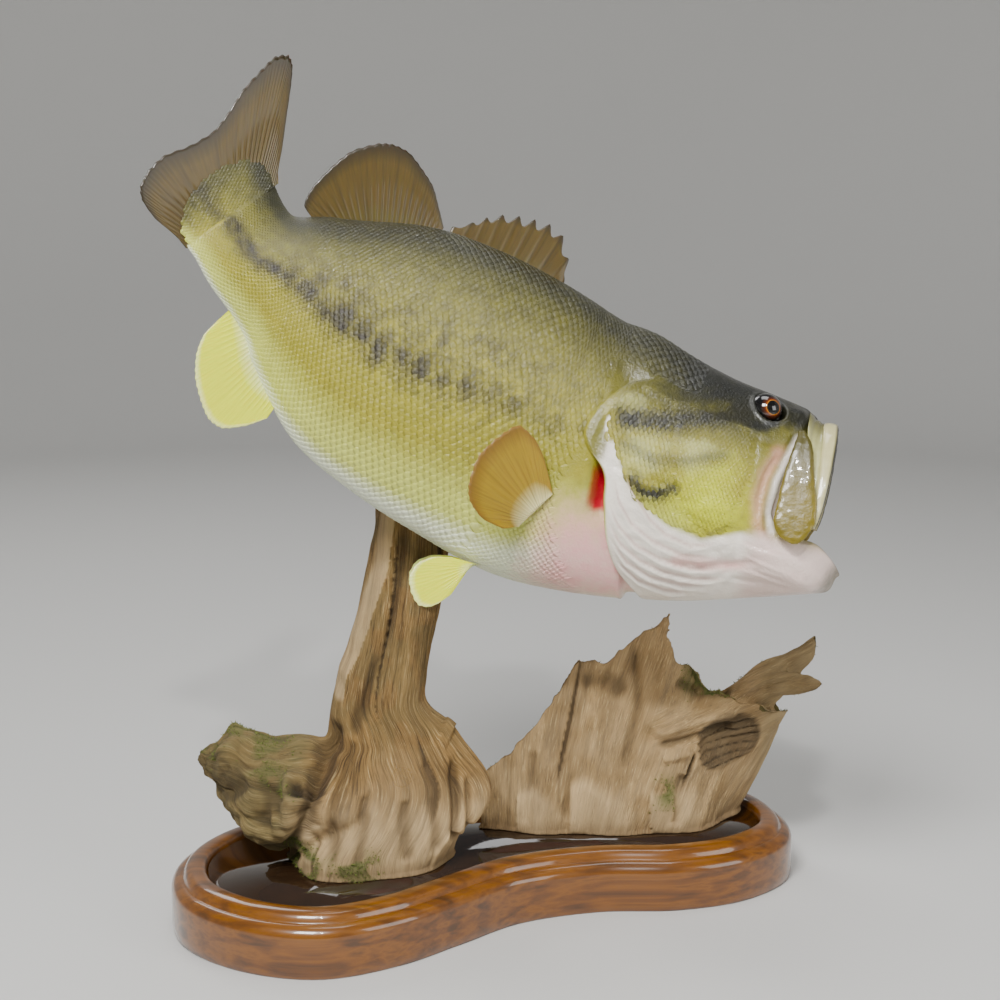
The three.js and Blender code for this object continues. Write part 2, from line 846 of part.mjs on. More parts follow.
const postHeights = [...alongFrom(WOOD_BOTTOM, POST_LOWER.top, POST_LOWER.steps), ...POST_UPPER];
const post = loft(
  postHeights.map((height) => {
    const [x, y, wide, deep] = [1, 2, 3, 4].map((column) => smooth(POST, column, height));
    const calm = THREE.MathUtils.clamp((height - POST_CALM.from) / (POST_CALM.to - POST_CALM.from), 0, 1);
    return woodAngles.map((angle) => {
      const share = knots(angle, height, lerp(1, POST_CALM.share, calm));
      return vec([x + wide * share * Math.cos(angle), y + deep * share * Math.sin(angle), height]);
    });
  }),
);
const root = loft(
  [...ROOT].reverse().map(([x, y, height, deep, high]) =>
    woodAngles.map((angle) => {
      const share = knots(angle, x + ROOT_WAVE_START);
      const z = height + high * share * Math.sin(angle);
      return vec([x, y + deep * share * Math.cos(angle), Math.max(z, WOOD_BOTTOM)]);
    }),
  ),
);
const stump = toSolid(post).add(toSolid(root)).subtract(bodyCutter);

function shardFace(back) {
  return SHARD.map(([x, y, top, lean], i) => {
    const before = SHARD[Math.max(i - 1, 0)];
    const after = SHARD[Math.min(i + 1, SHARD.length - 1)];
    const inward = new THREE.Vector2(before[1] - after[1], after[0] - before[0]).normalize();
    return alongFrom(WOOD_BOTTOM, top, SHARD_STEPS).map((height) => {
      const rise = (height - WOOD_BOTTOM) / (top - WOOD_BOTTOM);
      const ripple = SHARD_RIPPLE.size * Math.sin(x / SHARD_RIPPLE.along + height / SHARD_RIPPLE.up);
      const depth = lean * rise + ripple + back * lerp(SHARD_FOOT, SHARD_TOP, rise);
      return vec([x + inward.x * depth, y + inward.y * depth, height]);
    });
  });
}
const hollow = plainSolid(
  new THREE.IcosahedronGeometry(1, BALL_DETAIL)
    .scale(...SHARD_HOLLOW.radii)
    .translate(...SHARD_HOLLOW.centre),
);
const shardArms = SHARD_ARMS.map((arm) =>
  bar(
    arm.map(([centre, height, thickness]) => [vec(centre), height, thickness]),
    new THREE.Vector3(0, 0, 1),
    ARM_SIDES,
  ),
);
const shard = shardArms.reduce(
  (solid, arm) => solid.add(toSolid(arm)),
  toSolid(plate(shardFace(0), shardFace(1))).subtract(hollow),
);

// ---- plinth and resin ----

const plinthCurve = new THREE.CatmullRomCurve3(
  PLINTH_OUTLINE.map(([x, y]) => new THREE.Vector3(x, y, 0)),
  true,
);

// the plinth's outline moved inwards, at a height
function plinthRing(inset, height) {
  return range(PLINTH_POINTS).map((i) => {
    const t = i / PLINTH_POINTS;
    const tangent = plinthCurve.getTangentAt(t);
    const inward = new THREE.Vector3(-tangent.y, tangent.x, 0);
    return plinthCurve.getPointAt(t).addScaledVector(inward, inset).setZ(height);
  });
}

const plinth = loft(PLINTH_EDGE.map(([inset, height]) => plinthRing(inset, height)));
const recessFloor = PLINTH_EDGE.at(-1)[1];
const resin = loft([plinthRing(RESIN_INSET, recessFloor + CLEARANCE), plinthRing(RESIN_INSET, RESIN_TOP)]);

// ---- materials and scene ----

const finish = (color, roughness, metalness = 0) =>
  new THREE.MeshStandardMaterial({ color, roughness, metalness, flatShading: true });
const finishes = {
  flank: finish('#8c8f45', 0.3),
  back: finish('#55552c', 0.3),
  pale: finish('#e6d3c4', 0.35),
  bone: finish('#8b8440', 0.25),
  lip: finish('#cbc28a', 0.3),
  gill: finish('#b31f2e', 0.4),
  mouth: finish('#d9a9a0', 0.35),
  eye: finish('#a8621c', 0.1),
  brownFin: finish('#6d5a22', 0.35),
  amberFin: finish('#b9820f', 0.35),
  lemonFin: finish('#d7dc62', 0.35),
  driftwood: finish('#9a7d55', 0.8),
  lacquer: finish('#9a5a1e', 0.15),
  resin: finish('#3a2a1c', 0.05),
};

const bass = new THREE.Group();
function addPiece(name, shape, material) {
  const geometry = shape instanceof THREE.BufferGeometry ? shape : toGeometry(shape);
  const mesh = new THREE.Mesh(geometry, material);
  mesh.name = name;
  bass.add(mesh);
}

addPiece('plinth', plinth, finishes.lacquer);
addPiece('resin_pool', resin, finishes.resin);
addPiece('driftwood_stump', stump, finishes.driftwood);
addPiece('driftwood_shard', shard, finishes.driftwood);
addPiece('trunk', trunk, finishes.flank);
addPiece('tail_stem', tailStem, finishes.flank);
addPiece('head', head, finishes.back);
addPiece('lower_jaw', lowerJaw, finishes.pale);
addPiece('premaxilla', premaxilla, finishes.lip);
addPiece('tongue', tongue, finishes.mouth);
addPiece('tail_fin', tailFin(TAIL_FIN), finishes.brownFin);
addPiece('soft_dorsal_fin', medianFin(SOFT_DORSAL, true), finishes.brownFin);
addPiece('spiny_dorsal_fin', medianFin(SPINY_DORSAL, true), finishes.brownFin);
addPiece('anal_fin', medianFin(ANAL_FIN, false), finishes.lemonFin);
for (const [side, word] of [
  [1, 'right'],
  [-1, 'left'],
]) {
  addPiece(`gill_cover_${word}`, gillCover(side), finishes.pale);
  addPiece(`gills_${word}`, gillArch(side), finishes.gill);
  addPiece(`maxilla_${word}`, headBar(MAXILLA, side), finishes.bone);
  addPiece(`eye_${word}`, ball(eyeCentre(side), EYE.radius), finishes.eye);
  addPiece(`pectoral_fin_${word}`, pairedFin(PECTORAL, side), finishes.amberFin);
  addPiece(`pelvic_fin_${word}`, pairedFin(PELVIC, side), finishes.lemonFin);
}

export default bass;
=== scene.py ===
import math

import bmesh
import bpy
import numpy as np
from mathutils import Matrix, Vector


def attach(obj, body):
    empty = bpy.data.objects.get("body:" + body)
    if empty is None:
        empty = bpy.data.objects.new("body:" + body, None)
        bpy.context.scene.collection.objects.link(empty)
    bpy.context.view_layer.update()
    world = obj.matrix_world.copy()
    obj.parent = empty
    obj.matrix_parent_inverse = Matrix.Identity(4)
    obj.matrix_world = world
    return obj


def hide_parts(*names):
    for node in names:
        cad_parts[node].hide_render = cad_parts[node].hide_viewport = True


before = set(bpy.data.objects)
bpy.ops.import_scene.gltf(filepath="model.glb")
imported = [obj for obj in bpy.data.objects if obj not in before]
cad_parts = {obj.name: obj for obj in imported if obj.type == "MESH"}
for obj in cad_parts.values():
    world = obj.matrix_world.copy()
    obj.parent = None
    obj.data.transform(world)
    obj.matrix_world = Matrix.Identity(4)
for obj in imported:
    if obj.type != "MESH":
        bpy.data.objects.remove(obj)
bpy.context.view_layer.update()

mm = 0.001  # every size below is in millimetres, and meshes are made in metres
scene = bpy.context.scene


# small helpers

def colour(text):
    # sRGB hex to linear RGBA
    channels = [int(text[i:i + 2], 16) / 255 for i in (1, 3, 5)]
    linear = [c / 12.92 if c <= 0.04045 else ((c + 0.055) / 1.055) ** 2.4 for c in channels]
    return (*linear, 1.0)


def setSockets(tree, node, links):
    # a link is a value for the socket, or (node, output) to join to it
    for socket, value in links.items():
        if isinstance(value, tuple) and isinstance(value[0], bpy.types.Node):
            tree.links.new(value[0].outputs[value[1]], node.inputs[socket])
        else:
            node.inputs[socket].default_value = value


def addNode(tree, kind, settings=None, links=None):
    node = tree.nodes.new(kind)
    for name, value in (settings or {}).items():
        setattr(node, name, value)
    setSockets(tree, node, links or {})
    return node


# The next few each return (node, output), ready to join to another node.

def attribute(tree, name, output="Fac"):
    return addNode(tree, "ShaderNodeAttribute", {"attribute_name": name}), output


def maths(tree, operation, *values, clamp=False):
    settings = {"operation": operation, "use_clamp": clamp}
    return addNode(tree, "ShaderNodeMath", settings, dict(enumerate(values))), 0


def mixed(tree, factor, first, second):
    return addNode(tree, "ShaderNodeMix", {"data_type": "RGBA"}, {0: factor, 6: first, 7: second}), 2


def gated(tree, source, low, high, most=1.0):
    # 0 on low's side and the most on high's, softly between
    limits = {"Value": source, "From Min": low, "From Max": high, "To Max": most}
    return addNode(tree, "ShaderNodeMapRange", {"interpolation_type": "SMOOTHSTEP"}, limits), 0


def colourBand(tree, source, stops):
    band = addNode(tree, "ShaderNodeValToRGB", links={"Fac": source})
    elements = band.color_ramp.elements
    while len(elements) < len(stops):
        elements.new(0.5)
    for element, (at, text) in zip(elements, stops):
        element.position, element.color = at, colour(text)
    return band, "Color"


def noise(tree, vector, scale, detail, roughness=0.5, distortion=0.0):
    return addNode(tree, "ShaderNodeTexNoise", links={
        "Vector": vector, "Scale": scale, "Detail": detail, "Roughness": roughness, "Distortion": distortion,
    }), "Fac"


def patternNoise(tree, sizeMm, detail=4.0):
    # noise whose patches are about sizeMm across, fixed to the object
    place = addNode(tree, "ShaderNodeTexCoord")
    return noise(tree, (place, "Object"), 1 / (sizeMm * mm), detail, 0.6)


def addBump(tree, shader, height, strength, depthMm, sockets=("Normal",)):
    links = {"Height": height, "Strength": strength, "Distance": depthMm * mm}
    bump = addNode(tree, "ShaderNodeBump", links=links)
    setSockets(tree, shader, {name: (bump, "Normal") for name in sockets})


def newMaterial(name):
    material = bpy.data.materials.new(name)
    material.use_nodes = True
    return material, material.node_tree, material.node_tree.nodes["Principled BSDF"]


def ramp(low, high, x):
    # from 0 at low to 1 at high, softly
    t = np.clip((np.asarray(x, float) - low) / (high - low), 0, 1)
    return t * t * (3 - 2 * t)


def lerp(a, b, t):
    return a + (b - a) * t


def bell(x, width):
    return np.exp(-((x / width) ** 2))


def hermite(a, b, before, after, t):
    # the cubic from a to b that leaves and arrives with these slopes
    return (
        (2 * t**3 - 3 * t**2 + 1) * a + (t**3 - 2 * t**2 + t) * before
        + (3 * t**2 - 2 * t**3) * b + (t**3 - t**2) * after
    )


def folded(degrees):
    # degrees round the whole body to degrees down one side, from back to belly
    return np.where(degrees > 180, 360 - degrees, degrees)


def wholeTurn(turn, side):
    return np.where(side > 0, turn, 360 - turn)


def smooth(table, column, x):
    # a smooth curve through a table's stations, the same one that shapes the solids
    table = np.asarray(table, float)
    xs, ys = table[:, 0], table[:, column]
    steps = np.diff(xs)
    slopes = np.diff(ys) / steps
    tangents = np.empty(len(xs))
    tangents[0], tangents[-1] = slopes[0], slopes[-1]
    tangents[1:-1] = (steps[1:] * slopes[:-1] + steps[:-1] * slopes[1:]) / (steps[1:] + steps[:-1])
    x = np.asarray(x, float)
    k = np.clip(np.searchsorted(xs, x, side="left") - 1, 0, len(xs) - 2)
    t = (x - xs[k]) / steps[k]
    t2, t3 = t * t, t * t * t
    return (
        (2 * t3 - 3 * t2 + 1) * ys[k]
        + (t3 - 2 * t2 + t) * steps[k] * tangents[k]
        + (3 * t2 - 2 * t3) * ys[k + 1]
        + (t3 - t2) * steps[k] * tangents[k + 1]
    )


def unit(v):
    return v / np.maximum(np.linalg.norm(v, axis=-1, keepdims=True), 1e-9)


def hashNoise(ix, iy, iz, seed):
    h = (ix * 374761393 + iy * 668265263 + iz * 2147483647 + seed * 974711) & 0xFFFFFFFF
    h = ((h ^ (h >> 13)) * 1274126177) & 0xFFFFFFFF
    return ((h ^ (h >> 16)) & 0xFFFF) / 65535.0


def valueNoise(points, seed):
    # smooth noise from 0 to 1 with patches one unit across
    cell = np.floor(points).astype(np.int64)
    f = points - cell
    f = f * f * (3 - 2 * f)
    total = 0
    for dx in (0, 1):
        for dy in (0, 1):
            for dz in (0, 1):
                weight = (
                    (f[:, 0] if dx else 1 - f[:, 0]) * (f[:, 1] if dy else 1 - f[:, 1])
                    * (f[:, 2] if dz else 1 - f[:, 2])
                )
                total = total + weight * hashNoise(cell[:, 0] + dx, cell[:, 1] + dy, cell[:, 2] + dz, seed)
    return total


def setAttribute(mesh, name, values, kind="FLOAT"):
    layer = mesh.attributes.new(name, kind, "POINT")
    field = "value" if kind == "FLOAT" else "vector"
    layer.data.foreach_set(field, np.asarray(values, np.float32).ravel())


def makeMesh(name, points, faces, attributes=None):
    # points in millimetres
    mesh = bpy.data.meshes.new(name)
    mesh.from_pydata((np.asarray(points, float).reshape(-1, 3) * mm).tolist(), [], faces)
    for key, values in (attributes or {}).items():
        setAttribute(mesh, key, values)
    mesh.validate()
    mesh.polygons.foreach_set("use_smooth", [True] * len(mesh.polygons))
    mesh.update()
    piece = bpy.data.objects.new(name, mesh)
    scene.collection.objects.link(piece)
    return piece


def gridFaces(rows, columns, closed):
    # quads between the rows of a grid; closed joins the last column to the first
    across = columns if closed else columns - 1
    r, c = np.meshgrid(np.arange(rows - 1), np.arange(across), indexing="ij")
    d = (c + 1) % columns
    quads = np.stack([r * columns + c, r * columns + d, (r + 1) * columns + d, (r + 1) * columns + c], -1)
    return quads.reshape(-1, 4).tolist()


def tubeFaces(rows, columns):
    # a closed grid whose ends run to two points that follow it
    faces = gridFaces(rows, columns, True)
    last = (rows - 1) * columns
    for i in range(columns):
        j = (i + 1) % columns
        faces.append([rows * columns, j, i])
        faces.append([rows * columns + 1, last + i, last + j])
    return faces


def fixNormals(piece, weld=False):
    work = bmesh.new()
    work.from_mesh(piece.data)
    if weld:
        bmesh.ops.remove_doubles(work, verts=work.verts, dist=1e-6)
    bmesh.ops.recalc_face_normals(work, faces=work.faces)
    work.to_mesh(piece.data)
    work.free()


def finishPiece(piece, material, nodes):
    piece.data.materials.append(material)
    if nodes:
        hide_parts(*nodes)
    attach(piece, "root")
    return piece


# the fish's own coordinates

body = {
    "backbone": [
        [-166, -60, 488], [-153, -52, 463], [-126, -41, 440], [-89, -32, 412],
        [-47, -26, 383], [-2, -24, 355], [39, -26, 332], [74, -31, 321],
    ],
    "headCentre": [151, -48, 310],
    "headYaw": 13,
    "headPitch": 10,
    "straightPoints": [-40, 0, 60, 100],
    "rollAtTail": 4,
    "rollAtHead": 12,
    "rollLength": 250,
    # distance from the tail, height above, depth below, half width, level, fullness above and below
    "sections": [
        [0, 35, 42, 6, 0, 1.7, 1.7], [20, 34, 40, 13, 0, 1.8, 1.8], [33, 34, 41, 19, 0, 1.9, 1.9],
        [72, 56, 63, 33, 2, 1.9, 2.0], [118, 82, 88, 47, 4, 1.9, 2.1], [168, 95, 96, 58, 5, 1.9, 2.2],
        [221, 99, 98, 64, 5, 1.9, 2.2], [268, 97, 97, 65, 2, 1.9, 2.2], [306, 92, 92, 62, 0, 1.9, 2.1],
        [326, 90, 91, 57, 0, 1.9, 2.0],
    ],
    # the same by distance ahead of the head's centre
    "headSections": [
        [-90, 98, 92, 67, -2, 1.9, 2.0], [-60, 88, 91, 65, -6, 1.8, 1.9], [-30, 76, 88, 61, -10, 1.8, 1.8],
        [-4, 68, 83, 56, -12, 1.8, 1.7], [22, 63, 76, 48, -12, 1.8, 1.7],
    ],
    "muzzle": [
        [0, 46, 58, 0], [30, 44, 52, 18], [60, 38, 32, 32], [90, 32, -4, 43], [112, 37, -31, 45],
        [125, 46, -43, 43], [145, 60, -52, 35], [165, 72, -58, 20], [180, 76, -60, 0],
    ],
    "lip": [
        [0, 53, 54, 0], [30, 51, 46, 17], [60, 44, 27, 29], [90, 39, 2, 37], [112, 40, -20, 40],
        [125, 53, -29, 40], [145, 70, -31, 33], [165, 83, -41, 17], [180, 88, -47, 0],
    ],
    "gillEdge": [
        [46, -58], [58, -71], [72, -83], [84, -85], [94, -70], [108, -65], [124, -60], [142, -51],
        [157, -40], [179, -33],
    ],
    "gillPit": 13,
    "throatPit": 4,
    "coverThickness": 3,
}


def setUpBody():
    yaw, pitch = math.radians(body["headYaw"]), math.radians(body["headPitch"])
    axis = np.array([
        math.cos(yaw) * math.cos(pitch), -math.sin(yaw) * math.cos(pitch), -math.sin(pitch),
    ])
    centre = np.array(body["headCentre"], float)
    straight = [centre + axis * ahead for ahead in body["straightPoints"]]
    points = np.array([*body["backbone"], *straight], float)
    along = np.r_[0, np.cumsum(np.linalg.norm(np.diff(points, axis=0), axis=1))]
    line = np.column_stack([along, points])
    headAlong = along[len(body["backbone"]) + body["straightPoints"].index(0)]
    return axis, centre, line, headAlong


headAxis, headCentre, spineLine, headAlong = setUpBody()


def spineAt(s):
    return np.stack([smooth(spineLine, column, s) for column in (1, 2, 3)], -1)


def bodyFrame(s):
    s = np.asarray(s, float)
    forward = unit(spineAt(s + 0.5) - spineAt(s - 0.5))
    level = unit(np.stack([forward[..., 1], -forward[..., 0], np.zeros_like(s)], -1))
    upright = np.cross(level, forward)
    turn = np.radians(lerp(body["rollAtTail"], body["rollAtHead"], ramp(0, body["rollLength"], s)))[..., None]
    up = upright * np.cos(turn) - level * np.sin(turn)
    side = level * np.cos(turn) + upright * np.sin(turn)
    return spineAt(s), forward, up, side


headUp, headSide = bodyFrame(headAlong)[2:]


def bodyPoint(s, up, out):
    centre, _, upward, side = bodyFrame(s)
    return centre + upward * np.asarray(up)[..., None] + side * np.asarray(out)[..., None]


def headPoint(ahead, up, out):
    ahead, up, out = [np.asarray(v, float)[..., None] for v in (ahead, up, out)]
    return headCentre + headAxis * ahead + headUp * up + headSide * out


def headPlace(points):
    # the reverse of headPoint
    away = points - headCentre
    return away @ headAxis, away @ headUp, away @ headSide


def section(table, x, degrees, grow=0.0):
    above, below, width, level, fullTop, fullBottom = [smooth(table, c, x) for c in range(1, 7)]
    cos, sin = np.cos(np.radians(degrees)), np.sin(np.radians(degrees))
    power = 2 / np.where(cos >= 0, fullTop, fullBottom)
    reach = np.where(cos >= 0, above - level, below + level) + grow
    up = level + np.sign(cos) * reach * np.abs(cos) ** power
    out = np.sign(sin) * (width + grow) * np.abs(sin) ** power
    return up, out


def trunkPoint(s, degrees, depth=0.0):
    up, out = section(body["sections"], s, degrees)
    kept = 1 - depth / np.maximum(np.hypot(up, out), 1)
    return bodyPoint(s, up * kept, out * kept)


def skullPoint(ahead, degrees, depth=0.0):
    up, out = section(body["headSections"], ahead, degrees)
    kept = 1 - depth / np.maximum(np.hypot(up, out), 1)
    return headPoint(ahead, up * kept, out * kept)


# camera and light

studio = {
    "cameraAt": (0.005, -1.22833, 0.50976),
    "cameraDown": 10.235,  # degrees
    "lens": 64.8,
    "floor": "#cfcecb",
    "flat": 2200,  # the floor's flat part, then its soft rise to a wall
    "wallAt": 3000,
    "wallTop": 3200,
    "lights": {
        "key light": {"at": (-0.45, -1.25, 1.6), "size": 0.55, "power": 36},
        "top light": {"at": (0.1, 0.3, 1.9), "size": 0.8, "power": 8},
        "fill light": {"at": (1.5, -1.0, 0.8), "size": 0.9, "power": 9},
        "rear light": {"at": (-0.8, 1.3, 1.6), "size": 0.8, "power": 8},
        "sparkle light": {"at": (0.0, -1.3, 1.5), "size": 0.08, "power": 13},
    },
    "world": "#cfd2d6",
    "worldStrength": 0.26,
}


def makeStudio():
    lens = bpy.data.cameras.new("camera")
    lens.lens, lens.sensor_width = studio["lens"], 36.0
    lens.clip_start, lens.clip_end = 0.05, 60
    camera = bpy.data.objects.new("camera", lens)
    camera.location = studio["cameraAt"]
    camera.rotation_euler = (math.radians(90 - studio["cameraDown"]), 0, 0)
    scene.collection.objects.link(camera)
    scene.camera = camera
    for name, facts in studio["lights"].items():
        lamp = bpy.data.lights.new(name, "AREA")
        lamp.energy, lamp.size = facts["power"], facts["size"]
        light = bpy.data.objects.new(name, lamp)
        light.location = facts["at"]
        aim = Vector((0, 0, 0.3)) - Vector(facts["at"])
        light.rotation_euler = aim.to_track_quat("-Z", "Y").to_euler()
        scene.collection.objects.link(light)
    world = bpy.data.worlds.new("studio")
    world.use_nodes = True
    background = world.node_tree.nodes["Background"]
    background.inputs["Color"].default_value = colour(studio["world"])
    background.inputs["Strength"].default_value = studio["worldStrength"]
    scene.world = world
    # a round floor that bends up into a plain wall, so that no horizon shows
    flat, wall = studio["flat"], studio["wallAt"]
    bend = np.linspace(0, math.pi / 2, 16)
    radii = np.r_[1, flat * 0.5, flat + (wall - flat) * np.sin(bend), wall]
    levels = np.r_[0, 0, (wall - flat) * (1 - np.cos(bend)), studio["wallTop"]]
    spin = np.arange(96) * 2 * math.pi / 96
    rows = np.stack([
        radii[:, None] * np.cos(spin), radii[:, None] * np.sin(spin), np.repeat(levels[:, None], 96, 1),
    ], -1)
    faces = [*gridFaces(len(radii), 96, True), list(range(96))]
    floor = makeMesh("floor", rows, faces)
    paint, tree, shader = newMaterial("matt studio floor")
    setSockets(tree, shader, {"Base Color": colour(studio["floor"]), "Roughness": 0.8})
    floor.data.materials.append(paint)


makeStudio()
print("studio ready")


bothSides = (("right", 1), ("left", -1))

# the one skin: trunk, tail stem, gill covers, head, jaw and mouth lining

skinShape = {
    "around": 300,
    "coatDepth": 0.9,  # the skin lies this far inside the solids where scales cover it
    "trunkRows": 96,
    "underRows": 10,
    "liningRows": 18,
    "rimRows": 4,
    "faceRows": 84,
    "snoutRows": [18, 6, 6, 3, 3, 6, 8, 8, 6, 4],  # rows between the rings of snout, lip and mouth
    "trunkEnd": -60,
    "blend": (-95, -45),  # ahead of the head's centre, where the trunk's form gives way to the head's
    "pitFront": -29,
    "napeStart": -50,
    "faceEnd": 22,
    "foldFrom": (40, 54),  # degrees over which the gill cover comes free of the nape
    "lipThickness": 5,
    "chinRound": 4,
    "slit": {"depth": 9, "from": -81, "to": -70, "turns": (86, 97, 108, 120)},  # the open gill slit
    "mouthCentreUp": -6,
    "mouthRings": [(14, 0.74), (-10, 0.55), (-28, 0.25), (-34, 0.03), (-36, 0.01)],
}


def faceRing(table, degrees):
    ahead, up, out = [smooth(table, column, folded(degrees)) for column in (1, 2, 3)]
    return ahead, up, np.where(degrees > 180, -out, out)


def insideRing(table, degrees, shift, thickness):
    ahead, up, out = faceRing(table, degrees)
    middle = skinShape["mouthCentreUp"]
    length = np.hypot(up - middle, out)
    kept = (length - thickness) / length
    return headPoint(ahead + shift, middle + (up - middle) * kept, out * kept)


def mouthRing(ahead, share, degrees):
    up, out = section(body["headSections"], ahead, degrees)
    middle = skinShape["mouthCentreUp"]
    return headPoint(np.full_like(up, ahead), middle + (up - middle) * share, out * share)


def throughRings(rings, counts):
    # a smooth path through rings, with a number of rows between each pair
    rows = []
    for k in range(1, len(rings) - 2):
        p0, p1, p2, p3 = rings[k - 1:k + 3]
        chord = np.linalg.norm(p2 - p1, axis=-1, keepdims=True)
        before, after = unit(p2 - p0) * chord, unit(p3 - p1) * chord
        for t in (np.arange(counts[k - 1]) + 1) / counts[k - 1]:
            rows.append(hermite(p1, p2, before, after, t))
    return rows


def napeDepth(ahead):
    # the coat thins out over the nape, until the bare skin comes up to the solid's own surface
    return skinShape["coatDepth"] * ramp(-12, -40, ahead)


def slitShare(ahead, turn):
    slit = skinShape["slit"]
    first, second, third, last = slit["turns"]
    return ramp(slit["from"], slit["to"], ahead) * ramp(first, second, turn) * ramp(last, third, turn)


def skinGrid():
    shape = skinShape
    degrees = np.arange(shape["around"]) * 360 / shape["around"]
    turn = folded(degrees)
    free = ramp(*shape["foldFrom"], turn)  # 0 where head and trunk are one, 1 where the cover is free
    edge = smooth(body["gillEdge"], 1, np.clip(turn, 46, 179))
    pit = lerp(body["gillPit"] * ramp(40, 58, turn), body["throatPit"], ramp(140, 170, turn))
    thick = body["coverThickness"]
    under, lining, rim, face = [shape[k] for k in ("underRows", "liningRows", "rimRows", "faceRows")]
    trunkEnd, napeStart, faceEnd = [shape[k] for k in ("trunkEnd", "napeStart", "faceEnd")]
    inner = edge + 1.5  # where the cover's rounded rim starts
    hidden = under + lining + rim
    rows, part, places = [], [], []

    def addRow(foldAhead, monoAhead, depth, headShare, name):
        ahead = lerp(monoAhead, foldAhead, free)
        share = lerp(ramp(*shape["blend"], ahead), headShare, free)[:, None]
        sunk = depth * free + napeDepth(ahead) * (1 - free)
        if name == "trunk":
            sunk = shape["coatDepth"] + shape["slit"]["depth"] * slitShare(ahead, turn)
        trunk = trunkPoint(np.maximum(ahead + headAlong, 0), degrees, sunk)
        skull = skullPoint(np.maximum(ahead, shape["blend"][0]), degrees, sunk)
        rows.append(trunk * (1 - share) + skull * share)
        part.append(name)
        places.append(ahead)

    for t in np.linspace(0, 1, shape["trunkRows"]):
        ahead = lerp(-headAlong, trunkEnd, t)
        addRow(ahead, ahead, 0, 0.0, "trunk")
    for i in range(1, hidden + 1):
        mono = lerp(trunkEnd, napeStart, i / (hidden + 1))
        if i <= under:
            t = i / under
            deep = np.maximum(pit * ramp(0, 0.6, t), shape["slit"]["depth"] * slitShare(-60, turn))
            addRow(lerp(trunkEnd, shape["pitFront"], t), mono, deep, ramp(0, 0.6, t), "pit")
        elif i <= under + lining:
            t = (i - under) / lining
            deep = lerp(np.maximum(pit - 3, thick), thick, ramp(0, 0.35, t))
            addRow(lerp(shape["pitFront"], inner, t), mono, deep, 1.0, "lining")
        else:
            angle = math.pi * (i - under - lining) / (rim + 1)
            addRow(inner - 1.5 * math.sin(angle), mono, thick * (1 + math.cos(angle)) / 2, 1.0, "rim")
    for i in range(1, face + 1):
        t = i / face
        addRow(lerp(inner, faceEnd, t), lerp(napeStart, faceEnd, t), 0, 1.0, "face")

    thickness = shape["lipThickness"]
    muzzle, lip = [headPoint(*faceRing(body[key], degrees)) for key in ("muzzle", "lip")]
    chin = (shape["chinRound"] * ramp(134, 158, turn))[:, None] * (headAxis * 0.7 - headUp * 0.7)
    rings = [
        skullPoint(np.full_like(degrees, 10.0), degrees),
        skullPoint(np.full_like(degrees, float(faceEnd)), degrees),
        muzzle,
        (muzzle + lip) / 2 + chin,
        lip,
        insideRing(body["lip"], degrees, 1.8, thickness / 2),
        insideRing(body["lip"], degrees, -1, thickness),
        insideRing(body["muzzle"], degrees, -4, thickness),
        *[mouthRing(ahead, share, degrees) for ahead, share in shape["mouthRings"]],
    ]
    counts = shape["snoutRows"]
    for k, row in enumerate(throughRings(rings, counts)):
        rows.append(row)
        part.append("snout" if k < sum(counts[:3]) + 1 else "lip" if k < sum(counts[:5]) + 1 else "mouth")
        places.append(headPlace(row)[0])
    return degrees, np.array(rows), np.array(part), np.array(places)


def gridNormals(rows):
    along = np.gradient(rows, axis=0)
    around = np.roll(rows, -1, axis=1) - np.roll(rows, 1, axis=1)
    return unit(np.cross(along, around))


def lineDistance(x, y, line):
    # the distance of points to a line of [x, y] stations, and how far along it they lie
    best = np.full(x.shape, 1e9)
    share = np.zeros_like(best)
    for k, ((ax, ay), (bx, by)) in enumerate(zip(line[:-1], line[1:])):
        dx, dy = bx - ax, by - ay
        t = np.clip(((x - ax) * dx + (y - ay) * dy) / (dx * dx + dy * dy), 0, 1)
        d = np.hypot(x - ax - t * dx, y - ay - t * dy)
        nearer = d < best
        best = np.where(nearer, d, best)
        share = np.where(nearer, (k + t) / (len(line) - 1), share)
    return best, share


